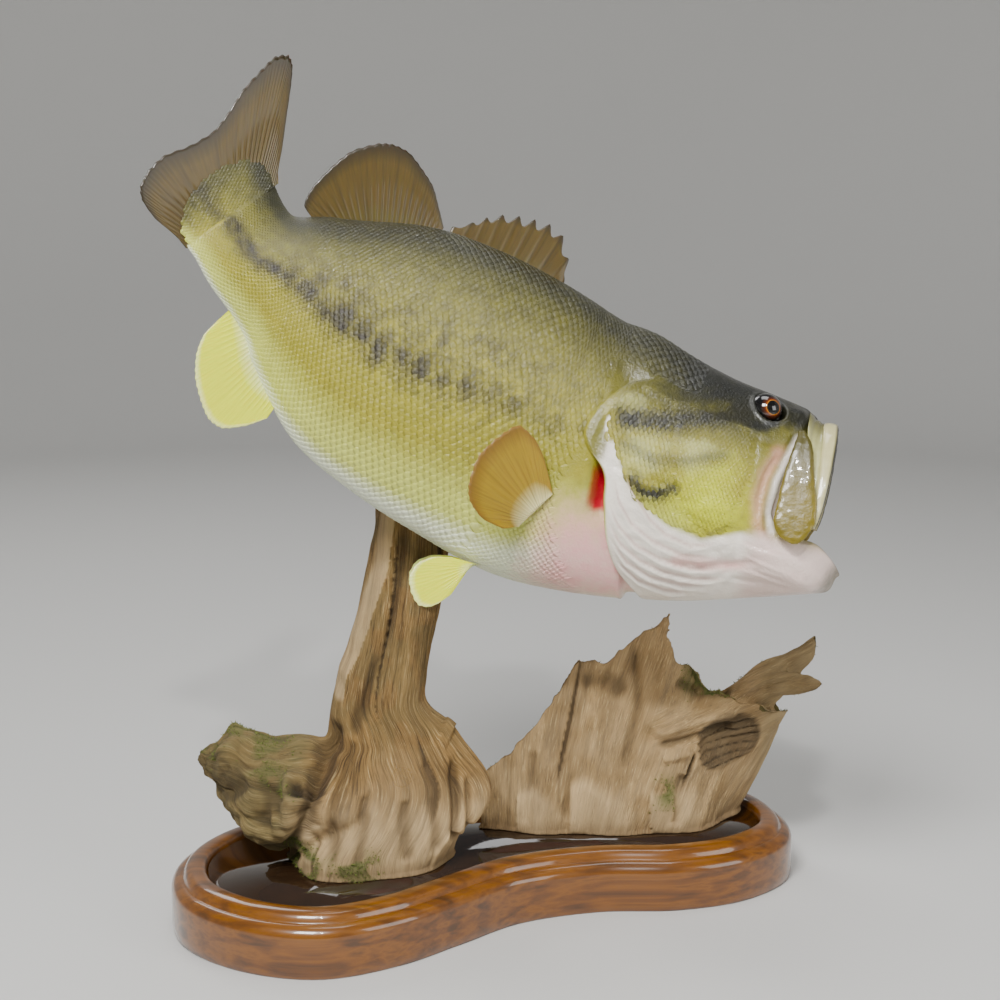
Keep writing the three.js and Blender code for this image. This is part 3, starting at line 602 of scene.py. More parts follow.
# lines on the head as [ahead, up], each with how far it stands out and how wide it is
headLines = {
    "preopercle": {
        "line": [[-30, 38], [-29, 18], [-24, -8], [-17, -22], [-4, -33]], "rise": -1.1, "width": 1.6,
    },
    "preopercleRidge": {"line": [[-27, 38], [-26, 18], [-21, -8], [-14, -20]], "rise": 0.7, "width": 2.6},
    "cheekFront": {"line": [[20, 34], [22, 3], [12, -38]], "rise": -0.9, "width": 2.2},
    "opercleTop": {"line": [[-30, 38], [-48, 40], [-62, 47]], "rise": -0.8, "width": 2.0},
    "opercleLow": {"line": [[-26, -14], [-48, -9], [-68, -6]], "rise": -0.9, "width": 2.0},
    "flapNotch": {"line": [[-60, 28], [-74, 22]], "rise": -0.7, "width": 2.0},
    "lowerCheek": {"line": [[-14, -28], [4, -31], [14, -36]], "rise": -0.9, "width": 2.0},
    "jawCrease": {"line": [[39, -46], [26, -52], [6, -56], [-14, -58]], "rise": -1.4, "width": 2.6},
    "jawJoint": {"line": [[18, -41], [14, -40]], "rise": 2.2, "width": 6.0},
    "tendon": {"line": [[46, 36], [42, 22], [38.5, 5], [38, -15], [42, -26]], "rise": 1.5, "width": 2.2},
    "pinkFold": {"line": [[36, 24], [31, 8], [30, -8], [32, -22]], "rise": -1.3, "width": 2.2},
    "nostril": {"line": [[34, 60], [36, 59]], "rise": -1.6, "width": 1.7},
    "nostrilRear": {"line": [[40.5, 59], [42, 58.5]], "rise": -1.6, "width": 1.5},
    "limeLobe": {"line": [[-4, -18], [8, -22], [14, -30]], "rise": 2.2, "width": 9.0},
    "limeCrease": {"line": [[-24, -24], [-10, -32], [6, -38], [14, -34]], "rise": -1.2, "width": 1.5},
    "flapRim": {"line": [[-50, 50], [-68, 36], [-78, 20], [-81, 4], [-76, -6]], "rise": 0.9, "width": 2.0},
    "membraneRim": {
        "line": [[-71, 24], [-70, 8], [-67, -10], [-62, -30], [-56, -48]], "rise": 1.0, "width": 2.0,
    },
    "lacrimal": {"line": [[12, 33], [26, 29], [42, 29]], "rise": -0.8, "width": 1.8},
    "jawRidgeA": {"line": [[44, -40], [58, -43], [72, -50]], "rise": 0.8, "width": 1.8},
    "jawRidgeB": {"line": [[38, -52], [54, -53], [70, -57]], "rise": 0.7, "width": 1.8},
    "chinFold": {"line": [[20, -62], [40, -60], [60, -60]], "rise": -0.8, "width": 1.8},
}
# pleats of the throat and jaw: each steps out just below its line, then falls away again
pleats = [
    {"line": [[-57, -2], [-50, -18], [-34, -36], [-23, -43], [-6, -47], [12, -42]], "rise": 2.5, "falls": 5},
    {"line": [[-63, -10], [-55, -29], [-45, -41], [-30, -49], [-9, -54], [14, -51]], "rise": 2.9, "falls": 5},
    {
        "line": [[-62, -30], [-53, -44], [-40, -54], [-24, -59], [-4, -61], [18, -57]],
        "rise": 2.9, "falls": 4.5,
    },
    {
        "line": [[-61, -41], [-50, -55], [-36, -63], [-20, -67], [0, -67], [22, -63]],
        "rise": 2.8, "falls": 4.5,
    },
    {"line": [[-57, -53], [-44, -66], [-28, -72], [-8, -73], [10, -70]], "rise": 2.5, "falls": 4},
    {"line": [[-52, -66], [-36, -76], [-18, -79], [0, -77]], "rise": 1.9, "falls": 4},
    {"line": [[24, -37], [38, -40], [54, -39], [70, -42], [84, -50]], "rise": 1.6, "falls": 4},
    {"line": [[28, -45], [48, -48], [64, -51], [80, -56]], "rise": 1.5, "falls": 3.5},
    {"line": [[22, -53], [44, -55], [66, -58]], "rise": 1.2, "falls": 3},
]
eyePlace = {"ahead": 20.5, "up": 50.5, "out": 16.5, "radius": 11.5, "socket": 9.6}


def pleatPlace(facts, ahead, up, margin):
    # how far below its line a point lies, and how fully it is within the line's span
    line = np.array(facts["line"], float)
    first, last = line[0, 0], line[-1, 0]
    below = 0.8 * (np.interp(ahead, line[:, 0], line[:, 1]) - up)
    return below, ramp(first - margin, first - margin + 9, ahead) * ramp(last + margin, last - 14, ahead)


def headRise(ahead, up, out):
    # how far the lines of the head stand out of its smooth form
    rise = np.zeros_like(ahead)
    for facts in headLines.values():
        distance, share = lineDistance(ahead, up, facts["line"])
        ends = ramp(0, 0.12, share) * ramp(0, 0.12, 1 - share) if len(facts["line"]) > 2 else 1
        rise = rise + facts["rise"] * bell(distance, facts["width"]) * ends
    for facts in pleats:
        below, inSpan = pleatPlace(facts, ahead, up, 1)
        wave = ramp(-1.0, 0.6, below) * np.exp(-np.clip(below, 0, 60) / facts["falls"])
        rise = rise + facts["rise"] * wave * inSpan
    places = np.stack([ahead, up * 1.3, out * 0.5], -1).reshape(-1, 3)
    lumps = valueNoise(places / 5, 81).reshape(ahead.shape)
    soft = ramp(-62, -46, ahead) * ramp(30, 18, ahead) * ramp(4, -8, up)
    return (rise + 1.3 * (lumps - 0.5) * soft) * ramp(6, 18, np.abs(out))


def gazeOf(side):
    return unit(headSide * side * 0.84 + headAxis * 0.5 + headUp * 0.22)


def buildSkin():
    degrees, rows, part, places = skinGrid()
    normals = gridNormals(rows)
    middle = rows.mean(axis=1, keepdims=True)
    if ((rows - middle)[60] * normals[60]).sum() < 0:
        normals = -normals
    ahead, up, out = headPlace(rows)
    shown = np.isin(part, ["face", "snout"])[:, None] & np.ones_like(ahead, bool)
    rise = headRise(ahead, up, out)
    # a raised ring round each eye, and a hollow inside it that the eye fills
    for side in (1, -1):
        away = rows - headPoint(eyePlace["ahead"], eyePlace["up"], side * eyePlace["out"])
        height = away @ gazeOf(side)
        radius = np.linalg.norm(away - height[..., None] * gazeOf(side), axis=-1)
        near = (height > -6) * (out * side > 0)
        rise += near * 1.3 * bell(radius - eyePlace["socket"] - 1.4, 1.5)
        rise -= near * 7.0 * ramp(eyePlace["socket"] + 0.4, eyePlace["socket"] - 1.6, radius)
    rows = rows + normals * (rise * shown)[..., None]
    points = np.vstack([rows.reshape(-1, 3), spineAt(0.0), rows[-1].mean(axis=0)])
    return degrees, points, tubeFaces(*rows.shape[:2]), part, places, rows.shape


degrees, skinPoints, skinFaces, skinParts, skinAhead, skinSize = buildSkin()
print("skin:", len(skinPoints), "points")


# Markings, as soft masks over the body's own coordinates. Skin and scales share them, so they meet.
markings = {
    # distance from the tail and turn from the back, where the dark back gives way to the flank
    "backAt": [[0, 60], [47, 58], [110, 50], [182, 46], [229, 44], [280, 44], [345, 46]],
    "lowAt": [[0, 150], [50, 146], [110, 140], [170, 134], [230, 126], [280, 112], [345, 108]],
    "bellyAt": [
        [0, 168], [60, 168], [113, 163], [150, 159], [190, 154], [230, 148], [260, 142], [290, 130],
        [345, 118],
    ],
    "stripeAt": [
        [0, 104], [11, 108], [29, 106], [43, 100], [68, 98], [130, 98], [158, 96], [218, 91], [300, 79],
    ],
    "upperAt": [[0, 88], [55, 89], [77, 86], [129, 84], [157, 81], [220, 74], [300, 66]],
    # distance from the tail, height over the stripe's middle, length, half height, strength of each blotch
    "blotches": [
        [8, 0, 9, 8, 1.0], [24, 1, 10, 8, 1.0], [40, 0, 9, 6, 1.0], [54, -1, 8, 6, 0.85],
        [69, 0, 10, 6.5, 1.0], [85, 2, 9, 5, 0.8], [99, 0, 10, 6, 1.0], [116, -1, 9, 5, 0.85],
        [131, 1, 8, 5, 0.9], [146, -1, 9, 4.5, 0.8], [162, 0, 10, 5, 0.9], [180, 2, 8, 4, 0.6],
        [196, 0, 9, 4.5, 0.7], [214, -1, 8, 4, 0.55], [232, 1, 9, 4, 0.55], [252, 0, 8, 3.5, 0.4],
        [272, 1, 9, 3.5, 0.4], [293, 0, 9, 3.5, 0.35],
    ],
    "flapLine": [[-50, 51], [-62, 44], [-74, 31], [-81, 14], [-83, 1]],
    "barLine": [[-61, 24], [-45, 26], [-29, 29], [-8, 37], [8, 45]],
    "lowBarLine": [[-58, 8], [-36, 2], [-16, 6], [4, 14]],
    "flapStreak": [[-72.5, 23], [-72, 8], [-69.5, -10], [-65, -29], [-58, -47]],
    "pinkFold": [[36, 24], [31, 8], [30, -8], [33, -24], [44, -40]],
    "smudgeLine": [[-48, -13], [-40, -19], [-29, -19], [-23, -13]],
    # where the green of the cheek ends above the white throat, as ahead and up
    "greenEnd": [
        [-90, -4], [-76, -4], [-72, 6], [-66, 9], [-62, 2], [-55, -12], [-43, -26], [-22, -37], [0, -41],
        [12, -36], [24, -31], [44, -34],
    ],
    # ahead, up, half length, half height, strength of soft patches
    "limePatches": [[2, -22, 24, 13, 1.0], [-2, -4, 16, 10, 0.5], [8, 8, 10, 12, 0.35]],
    "creamPatches": [
        [-46, 4, 13, 12, 0.8], [-14, 8, 9, 9, 0.6], [-58, 34, 10, 5, 0.35], [-6, 16, 14, 5, 0.3],
    ],
}


def tableAt(name, x):
    return np.interp(x, *zip(*markings[name]))


def markingMasks(points, turn, ahead, part):
    # turn is degrees from the back, ahead is from the head's centre; each mask runs from 0 to 1
    a, up, _ = headPlace(points)
    s = ahead + headAlong
    onHead = np.isin(part, ["face", "snout", "lip"]).astype(float)
    onTrunk = (part == "trunk").astype(float)
    onFront = np.isin(part, ["trunk", "pit"])
    offHead = 1 - onHead * ramp(-20, 0, a)
    masks = {}

    def near(line):
        return lineDistance(a, up, line)[0]

    clipped = np.clip(s, 0, 345)
    back, low, belly, stripe, upper = [
        tableAt(name, clipped) for name in ("backAt", "lowAt", "bellyAt", "stripeAt", "upperAt")
    ]
    masks["back"] = 1 - ramp(back - 22, back + 20, turn)
    masks["shoulder"] = 1 - ramp(back + 4, stripe + lerp(22, 2, ramp(0, 120, s)), turn)
    masks["low"] = ramp(low - 18, low + 12, turn) * offHead
    masks["belly"] = ramp(belly - 9, belly + 9, turn) * offHead
    # a dusky pink just under each pleat's line: partly the mount's own crease paint, partly painted shade in
    # the groove
    crease = np.zeros_like(s)
    for facts in pleats:
        below, inSpan = pleatPlace(facts, a, up, 0)
        crease = np.maximum(crease, bell(below + 0.6, 1.1) * inSpan)
    masks["crease"] = crease * onHead
    chain = np.zeros_like(s)
    for at, shift, length, half, strength in markings["blotches"]:
        long = np.exp(-np.abs((s - at) / length) ** 3)
        main = bell(turn - stripe - shift, 1.35 * half)
        second = 0.6 * bell(turn - upper + 2 * shift, 1.2 * half) * ramp(40, 60, s)
        chain = np.maximum(chain, strength * long * np.maximum(main, second * bell(s - at - 7, length)))
    thread = lerp(0.7, 0.3, ramp(60, 130, s)) * bell(turn - stripe, 8) * ramp(330, 260, s)
    masks["stripe"] = np.clip(np.maximum(1.25 * chain, thread), 0, 1) * onTrunk
    masks["mottle"] = bell(turn - stripe + 14, 20) * ramp(0, 40, s) * ramp(300, 230, s) * 0.55 * onTrunk
    flap = ramp(16, 10, near(markings["flapLine"])) * ramp(-68, -73, a + 0.45 * (up - 10))
    masks["flap"] = flap * ramp(-12, -2, up) * onHead
    masks["blush"] = ramp(100, 124, turn) * ramp(268, 300, s) * (1 - 0.5 * ramp(150, 178, turn)) * onFront
    bar = 1.15 * bell(near(markings["barLine"]), 7.5)
    lowBar = bell(near(markings["lowBarLine"]), 5.0) * 0.6
    smudge = bell(near(markings["smudgeLine"]), 4.5)
    masks["bar"] = np.clip(bar + lowBar + smudge, 0, 1) * onHead
    crown = ramp(44, 58, up - 0.30 * np.clip(a, -60, 20)) * ramp(-60, -10, a)
    orbit = np.hypot(a - eyePlace["ahead"] + 3, (up - eyePlace["up"]) * 1.15)
    snout = ramp(24, 40, a) * ramp(38, 48, up) * ramp(66, 58, a)
    masks["crown"] = np.clip(np.maximum(crown, np.maximum(ramp(21, 15, orbit), 0.9 * snout)), 0, 1) * onHead
    for name in ("lime", "cream"):
        total = 0
        for at, high, long, tall, strength in markings[f"{name}Patches"]:
            total = total + strength * np.exp(-(((a - at) / long) ** 2) - (((up - high) / tall) ** 2))
        masks[name] = np.clip(total, 0, 1) * onHead
    throat = ramp(2.5, -2.5, up - tableAt("greenEnd", a))
    streak, share = lineDistance(a, up, markings["flapStreak"])
    band = ramp(0, -1.5, streak - lerp(2.2, 7.0, share)) * ramp(-75.5, -73, a)
    masks["membrane"] = np.clip(throat + band, 0, 1) * onHead
    masks["jaw"] = ramp(-24, -34, up) * ramp(22, 36, a) * onHead
    masks["tendon"] = bell(near(headLines["tendon"]["line"]), 2.6) * onHead
    tissue = bell(near(headLines["jawCrease"]["line"]), 3.5) + 0.8 * bell(near(markings["pinkFold"]), 4.5)
    masks["tissue"] = np.clip(tissue, 0, 1) * onHead
    masks["chin"] = ramp(76, 86, a - 0.35 * (up + 50)) * onHead
    masks["mouth"] = (part == "mouth").astype(float)
    inSlit = ramp(0.45, 0.8, slitShare(a, turn)) * onFront
    inPit = np.isin(part, ["pit", "lining"]) * ramp(70, 78, turn) * ramp(150, 130, turn)
    masks["gillRed"] = np.maximum(inSlit, inPit)
    return masks


def gridMasks():
    around = skinSize[1]
    turn = np.append(np.tile(folded(degrees), skinSize[0]), [90, 90])
    part = np.append(np.repeat(skinParts, around), ["trunk", "mouth"])
    ahead = np.append(skinAhead.ravel(), [-headAlong, -36])
    return markingMasks(skinPoints, turn, ahead, part)


maskColours = {  # painted in this order: the colour, how far noise breaks its edge, how much it covers
    "shoulder": ("#5b5712", 0.20, 0.9),
    "back": ("#232204", 0.25, 0.97),
    "mottle": ("#413a0a", 0.80, 0.6),
    "low": ("#ccd262", 0.25, 0.9),
    "stripe": ("#221a04", 0.45, 0.9),
    "belly": ("#eaf0d2", 0.18, 1.0),
    "blush": ("#efaeac", 0.35, 0.85),
    "cream": ("#dfe08e", 0.50, 0.85),
    "lime": ("#ccd210", 0.35, 0.9),
    "crown": ("#0c0d05", 0.30, 0.96),
    "bar": ("#1a1802", 0.40, 0.95),
    "membrane": ("#fbf2e4", 0.18, 1.0),
    "tissue": ("#e79a96", 0.30, 0.6),
    "flap": ("#6b6716", 0.20, 0.9),
    # the pleats' dusky pink is partly crease paint, partly painted shade in their grooves
    "crease": ("#a9776c", 0.20, 0.55),
    "tendon": ("#f6ece2", 0.15, 0.9),
    "jaw": ("#ecd2c8", 0.25, 0.9),
    "chin": ("#635733", 0.30, 0.85),
    "mouth": ("#eabcae", 0.10, 1.0),
    "gillRed": ("#c01028", 0.10, 1.0),
}


def paintMasks(tree, shade, layers, patchMm):
    # each mask's edge is broken by the same noise, so that blotches look painted by hand
    centred = maths(tree, "SUBTRACT", patternNoise(tree, patchMm), 0.5)
    for name, (text, spread, amount) in layers.items():
        mask = attribute(tree, name)
        moved = maths(tree, "MULTIPLY_ADD", centred, spread * 2.4, mask)
        covered = maths(tree, "MULTIPLY", moved, amount, clamp=True)
        # noise alone must not paint where the mask is empty
        limits = {"Value": mask, "From Min": 0.0, "From Max": 0.12}
        present = addNode(tree, "ShaderNodeMapRange", links=limits)
        here = maths(tree, "MULTIPLY", covered, (present, 0), clamp=True)
        shade = mixed(tree, here, shade, colour(text))
    return shade


def makeSkinMaterial(name, coat, coatRoughness, bumpMm):
    # airbrushed fish skin under clear lacquer: soft blotches, a fine grain and wet highlights
    material, tree, shader = newMaterial(name)
    base = mixed(tree, patternNoise(tree, 9.0), colour("#7e7a14"), colour("#a99f2a"))
    setSockets(tree, shader, {
        "Base Color": paintMasks(tree, base, maskColours, 7.0), "Roughness": 0.38,
        "Coat Weight": coat, "Coat Roughness": coatRoughness,
    })
    addBump(tree, shader, patternNoise(tree, bumpMm, 3.0), 0.7, 0.8, ("Normal", "Coat Normal"))
    return material


skinMaterial = makeSkinMaterial("lacquered fish skin", 0.6, 0.06, 1.6)
skin = makeMesh("skin", skinPoints, skinFaces, gridMasks())
finishPiece(skin, skinMaterial, [
    "trunk", "tail_stem", "head", "lower_jaw", "gill_cover_right", "gill_cover_left",
])
print("skin painted")


# Scales lie over the skin in offset rows, each a thin closed plate with a free rear edge.
scaleShape = {
    "pitch": 5.4,  # from one scale to the next along a row
    "rowsPerSide": 62,
    "overlap": 1.9,  # a scale's length as a share of the pitch
    "reach": 0.9,  # half its height as a share of the distance between rows
    "lift": (-0.28, 0.46),  # height over the skin at the root, which is sunk in it, and at the free edge
    "dome": 0.10,
    "along": 3,
    "across": 4,
    "patch": 0.003,  # each scale's patch on the bake map
    "cheekPitch": 2.7,
    "cheekRows": 34,
    "coverPitch": 3.2,
    # where the scales end in front of the gills, as ahead and up
    "breastLine": [[-84, 10], [-90, -5], [-97, -20], [-95, -45], [-84, -75], [-74, -92]],
    "breast": {"from": 252, "turn": 100, "pitch": 3.3, "rowsPerSide": 100},  # small scales on the breast
}


def scaleTemplate():
    # one scale as shares: back from the root, across, and where its outline runs
    n, m = scaleShape["along"], scaleShape["across"]
    x, y = np.meshgrid(np.linspace(0, 1, n + 1), np.linspace(-1, 1, m + 1), indexing="ij")
    width = lerp(0.72, 1.0, np.sin(np.clip(x, 0, 1) * math.pi * 0.62))
    back = x * (1 - 0.40 * np.abs(y) ** 2.2)
    across = y * width
    top = np.arange((n + 1) * (m + 1)).reshape(n + 1, m + 1)
    rim = [*top[0, :], *top[1:, m], *top[n, m - 1::-1], *top[n - 1:0:-1, 0]]
    faces = []
    for i in range(n):
        for j in range(m):
            faces.append([top[i, j], top[i + 1, j], top[i + 1, j + 1], top[i, j + 1]])
    size = (n + 1) * (m + 1)
    for k in range(len(rim)):
        a, b = k, (k + 1) % len(rim)
        faces.append([rim[a], rim[b], size + b, size + a])
    faces.append([size + k for k in range(len(rim))][::-1])
    backAll = np.r_[back.ravel(), back.ravel()[rim]]
    acrossAll = np.r_[across.ravel(), across.ravel()[rim]]
    onTop = np.r_[np.ones(size), np.zeros(len(rim))]
    return backAll, acrossAll, onTop, [[int(v) for v in f] for f in faces]


def bodySurface(s, turn, side, depth):
    # the body between tail and nape, with the head's own shape taking over along the back
    ahead = s - headAlong
    signed = wholeTurn(turn, side)
    free = ramp(*skinShape["foldFrom"], turn)
    share = (ramp(*skinShape["blend"], ahead) * (1 - free))[..., None]
    trunk = trunkPoint(np.clip(s, 0, 326), signed, depth)
    skull = skullPoint(np.maximum(ahead, skinShape["blend"][0]), signed, depth)
    return trunk * (1 - share) + skull * share


def coverSurface(ahead, turn, side, depth):
    signed = wholeTurn(turn, side)
    up, out = section(body["headSections"], ahead, signed)
    rise = headRise(ahead, up, out)
    return skullPoint(ahead, signed, depth - rise)


def degreesPerMm(surface, x, turn, side):
    step = surface(x, turn + 0.5, side, 0.0) - surface(x, turn - 0.5, side, 0.0)
    return 1 / np.maximum(np.linalg.norm(step, axis=-1), 0.05)


def turnAtShare(surface, x, share, side, first, last):
    # the angle that lies a share of the way round, measured along the skin
    turns = np.linspace(first, last, 91)
    grid = surface(np.full(91, float(x)), turns, np.full(91, side), 0.0)
    length = np.r_[0, np.cumsum(np.linalg.norm(np.diff(grid, axis=0), axis=1))]
    return np.interp(share * length[-1], length, turns), length[-1]


def bodyRoots(side):
    roots = []
    breast = scaleShape["breast"]
    for first, last, pitch, rows, small in (
        (5.0, 372, scaleShape["pitch"], scaleShape["rowsPerSide"], False),
        (breast["from"], 320, breast["pitch"], breast["rowsPerSide"], True),
    ):
        s = first
        while s < last:
            _, half = turnAtShare(bodySurface, s, 0.0, side, 0, 180)
            slim = pitch * np.clip(half / 255, 0.5, 1)
            for offset in (0, 1):
                at = s + offset * slim / 2
                shares = (np.arange(rows // 2) * 2 + offset + 0.5) / rows
                turns, half = turnAtShare(bodySurface, at, shares, side, 0, 180)
                onBreast = turns > breast["turn"] + 25 * ramp(breast["from"] + 22, breast["from"], at)
                onBreast = onBreast & (at > breast["from"])
                roots += [[at, turn, half / rows, slim] for turn in turns[onBreast == small]]
            s += slim
    roots = np.array(roots)
    ahead = roots[:, 0] - headAlong
    points = bodySurface(roots[:, 0], roots[:, 1], np.full(len(roots), side), 0.0)
    up = headPlace(points)[1]
    limitAhead, limitUp = np.array(scaleShape["breastLine"], float).T
    limit = np.interp(-up, -limitUp, limitAhead)
    nape = (roots[:, 1] < 43) & (ahead < -12)
    keep = nape | ((ahead < limit - 1) & (roots[:, 1] >= 43)) | (ahead < -110)
    return roots[keep & (slitShare(ahead, roots[:, 1]) < 0.05)]


def coverRoots(side):
    # the cheek's small scales and the gill cover's larger ones
    roots = []
    for first, last, low, high, pitch, rows in (
        (-29, 24, 50, 118, scaleShape["cheekPitch"], scaleShape["cheekRows"]),
        (-74, -29, 52, 112, scaleShape["coverPitch"], 24),
    ):
        x = float(first)
        while x < last:
            for offset in (0, 1):
                at = x + offset * pitch / 2
                shares = (np.arange(rows // 2) * 2 + offset + 0.5) / rows
                turns, length = turnAtShare(coverSurface, at, shares, side, low, high)
                for turn in turns:
                    roots.append([at, turn, length / rows, pitch])
            x += pitch
    roots = np.array(roots)
    up, _ = section(body["headSections"], roots[:, 0], wholeTurn(roots[:, 1], side))
    eyeGap = np.hypot(roots[:, 0] - eyePlace["ahead"], up - eyePlace["up"] + 2)
    edge = smooth(body["gillEdge"], 1, roots[:, 1])
    slope = 24 - 0.18 * np.abs(up - 6)
    green = tableAt("greenEnd", roots[:, 0])
    keep = (eyeGap > 16) & (roots[:, 0] > edge + 10) & (roots[:, 0] < slope) & (up > green + 3)
    return roots[keep & (coverMasks(roots, side)["membrane"] < 0.15)]


def layScales(name, surface, roots, side, depth, maskOf):
    back, across, onTop, faces = scaleTemplate()
    low, high = scaleShape["lift"]
    count, size = len(roots), len(back)
    wobble = np.random.default_rng(7 if side > 0 else 11)
    fade = np.ones((count, 1))
    if surface is bodySurface:
        ahead = roots[:, :1] - headAlong
        fade = ramp(-10, -34, ahead)
        depth = np.where(ahead < -62, depth, napeDepth(ahead))
    length = roots[:, 3] * scaleShape["overlap"] * (1 + 0.08 * wobble.uniform(-1, 1, count))
    x = roots[:, :1] + length[:, None] * (0.35 - back)
    x = np.maximum(x, 0.5) if surface is bodySurface else x
    perMm = degreesPerMm(surface, roots[:, 0], roots[:, 1], np.full(count, side))
    shift = across * (roots[:, 2] * scaleShape["reach"] * 1.12 * perMm)[:, None]
    turn = np.clip(roots[:, 1:2] + shift, 0.0, 180.0)
    slim = (roots[:, 3] / scaleShape["pitch"])[:, None]
    tilt = wobble.uniform(-0.10, 0.10, count)[:, None]
    lift = low + (high - low) * back + scaleShape["dome"] * (1 - across**2) + tilt * across
    lift = np.where(onTop > 0, lift * np.clip(slim + 0.1, 0, 1) * fade, 0.02) - 0.3 * (1 - fade)
    points = surface(x, turn, np.full(x.shape, side), depth - lift)
    shifts = (np.arange(count) * size)[:, None, None]
    quads = [f for f in faces if len(f) == 4]
    lid = [f for f in faces if len(f) != 4]
    allFaces = (np.array(quads)[None] + shifts).reshape(-1, 4).tolist()
    allFaces += (np.array(lid)[None] + shifts).reshape(-1, len(lid[0])).tolist()
    masks = {key: np.repeat(value, size) for key, value in maskOf(roots, side).items()}
    piece = makeMesh(name, points, allFaces, masks)
    # the thin rim stays flat, so that it doesn't bend the light on top
    perScale = np.arange(len(quads)) < scaleShape["along"] * scaleShape["across"]
    piece.data.polygons.foreach_set("use_smooth", [*np.tile(perScale, count).tolist(), *[False] * count])
    rootMap = np.column_stack([roots[:, 0] / 420 + 0.3 * (surface is coverSurface), roots[:, 1] / 190])
    rootMap = rootMap * 0.48 + (0.01 if side > 0 else 0.51)
    patch = np.column_stack([back - 0.5, across * 0.5]) * scaleShape["patch"]
    flat = (rootMap[:, None, :] + patch[None]).reshape(-1, 2)
    layer = piece.data.uv_layers.new(name="OFBake")
    corners = np.empty(len(piece.data.loops), np.int32)
    piece.data.loops.foreach_get("vertex_index", corners)
    layer.data.foreach_set("uv", flat[corners].astype(np.float32).ravel())
    fixNormals(piece)
    return piece


def bodyMasks(roots, side):
    points = bodySurface(roots[:, 0], roots[:, 1], np.full(len(roots), side), 0.0)
    part = np.where(roots[:, 0] - headAlong > -50, "face", "trunk")
    return markingMasks(points, roots[:, 1], roots[:, 0] - headAlong, part)


def coverMasks(roots, side):
    points = coverSurface(roots[:, 0], roots[:, 1], np.full(len(roots), side), 0.0)
    return markingMasks(points, roots[:, 1], roots[:, 0], np.full(len(roots), "face"))


scaleMaterial = makeSkinMaterial("lacquered fish scales", 0.42, 0.035, 1.1)
for word, side in bothSides:
    roots = bodyRoots(side)
    half = np.median(roots[:, 0])
    for place, chosen in (("rear", roots[:, 0] < half), ("front", roots[:, 0] >= half)):
        coat = layScales(
            f"scales_{word}_{place}", bodySurface, roots[chosen], side, skinShape["coatDepth"], bodyMasks
        )
        finishPiece(coat, scaleMaterial, [])
    cheek = layScales(f"cheek_scales_{word}", coverSurface, coverRoots(side), side, 0.0, coverMasks)
    finishPiece(cheek, scaleMaterial, [])
    print("scales", word, len(roots), len(cheek.data.polygons))


# eyes: glass domes painted from the pupil outwards
eyeLook = {"pupil": 25, "ring": 27, "iris": 34, "rim": 46, "bulge": 0.5}


def makeEye(word, side, material):
    gaze = gazeOf(side)
    across = unit(np.cross(gaze, headUp))
    high = np.cross(across, gaze)
    tilts = np.linspace(0, math.pi, 56)
    spins = np.linspace(0, 2 * math.pi, 72, endpoint=False)
    centre = headPoint(eyePlace["ahead"], eyePlace["up"], side * eyePlace["out"])
    rows = []
    for tilt in tilts:
        radius = eyePlace["radius"] - 0.45 + eyeLook["bulge"] * math.exp(-(tilt / 0.5) ** 2) * 0.8
        ring = gaze * math.cos(tilt) + (
            across * np.cos(spins)[:, None] + high * np.sin(spins)[:, None]
        ) * math.sin(tilt)
        rows.append(centre + ring * radius)
    points = np.array(rows).reshape(-1, 3)
    masks = {"fromPupil": np.repeat(np.degrees(tilts) / 90, 72)}
    eye = makeMesh(f"eye_{word}_glass", points, gridFaces(56, 72, True), masks)
    fixNormals(eye, weld=True)
    return finishPiece(eye, material, [f"eye_{word}"])


def makeEyeMaterial():
    # cast glass over a painted iris: black pupil, thin gold ring, amber brown to a dark edge
    material, tree, shader = newMaterial("glass eye")
    moved = maths(tree, "MULTIPLY_ADD", patternNoise(tree, 0.9, 3.0), 0.035, attribute(tree, "fromPupil"))
    stops = [
        (0.0, "#030303"), (eyeLook["pupil"] / 90, "#050404"), (eyeLook["ring"] / 90, "#c07c1c"),
        (0.32, "#7a3406"), (eyeLook["iris"] / 90, "#4a1e06"), (eyeLook["rim"] / 90, "#070505"),
    ]
    setSockets(tree, shader, {
        "Base Color": colourBand(tree, moved, stops), "Roughness": 0.12,
        "Coat Weight": 1.0, "Coat Roughness": 0.01,
    })
    return material


eyeMaterial = makeEyeMaterial()
for word, side in bothSides:
    makeEye(word, side, eyeMaterial)
print("eyes set")


# jaw bones and tongue, from the solids' own stations: ahead, up, out, half width, half thickness
jawBones = {
    "maxilla": [
        [47, 41, 31, 2, 0.8], [50, 31, 36, 6, 1.4], [52, 10, 42, 10, 1.6], [54.5, -8, 45.5, 12.5, 1.7],
        [55, -19, 47.5, 12.5, 1.7], [57, -27, 48.5, 8, 1.5], [58, -31, 49, 2, 0.8],
    ],
    "premaxilla": [
        [64, 49.5, 0, 5, 2.6], [64.5, 46.5, 12, 5, 2.6], [66, 36, 25, 4.6, 2.2], [67.5, 14, 36, 3.8, 1.8],
        [68, -6, 41, 2.8, 1.4], [67.5, -19, 43, 1.4, 1],
    ],
    # the web of skin between the snout and cheek bones and the lip: its rear and front edges
    "webRear": [
        [49, 56.5, 0], [49.5, 53, 12], [50.5, 44, 25], [53.5, 30, 33], [56.5, 12, 39.5], [59, -6, 43.5],
        [61, -21, 46],
    ],
    "webFront": [
        [62, 50.5, 0], [62.5, 47, 12], [63.5, 38, 23.5], [65, 24, 31.5], [66.5, 10, 37.5], [67.5, -5, 41.2],
        [67, -19, 43.5],
    ],
    "webThickness": 1.2,
    "webSag": 1.6,
    "tongue": [[-8, -42, 0, 8, 4], [12, -47, 0, 13, 4.5], [34, -50, 0, 13, 4], [50, -52, 0, 6, 2]],
    "steps": 60,
    "sides": 40,
}


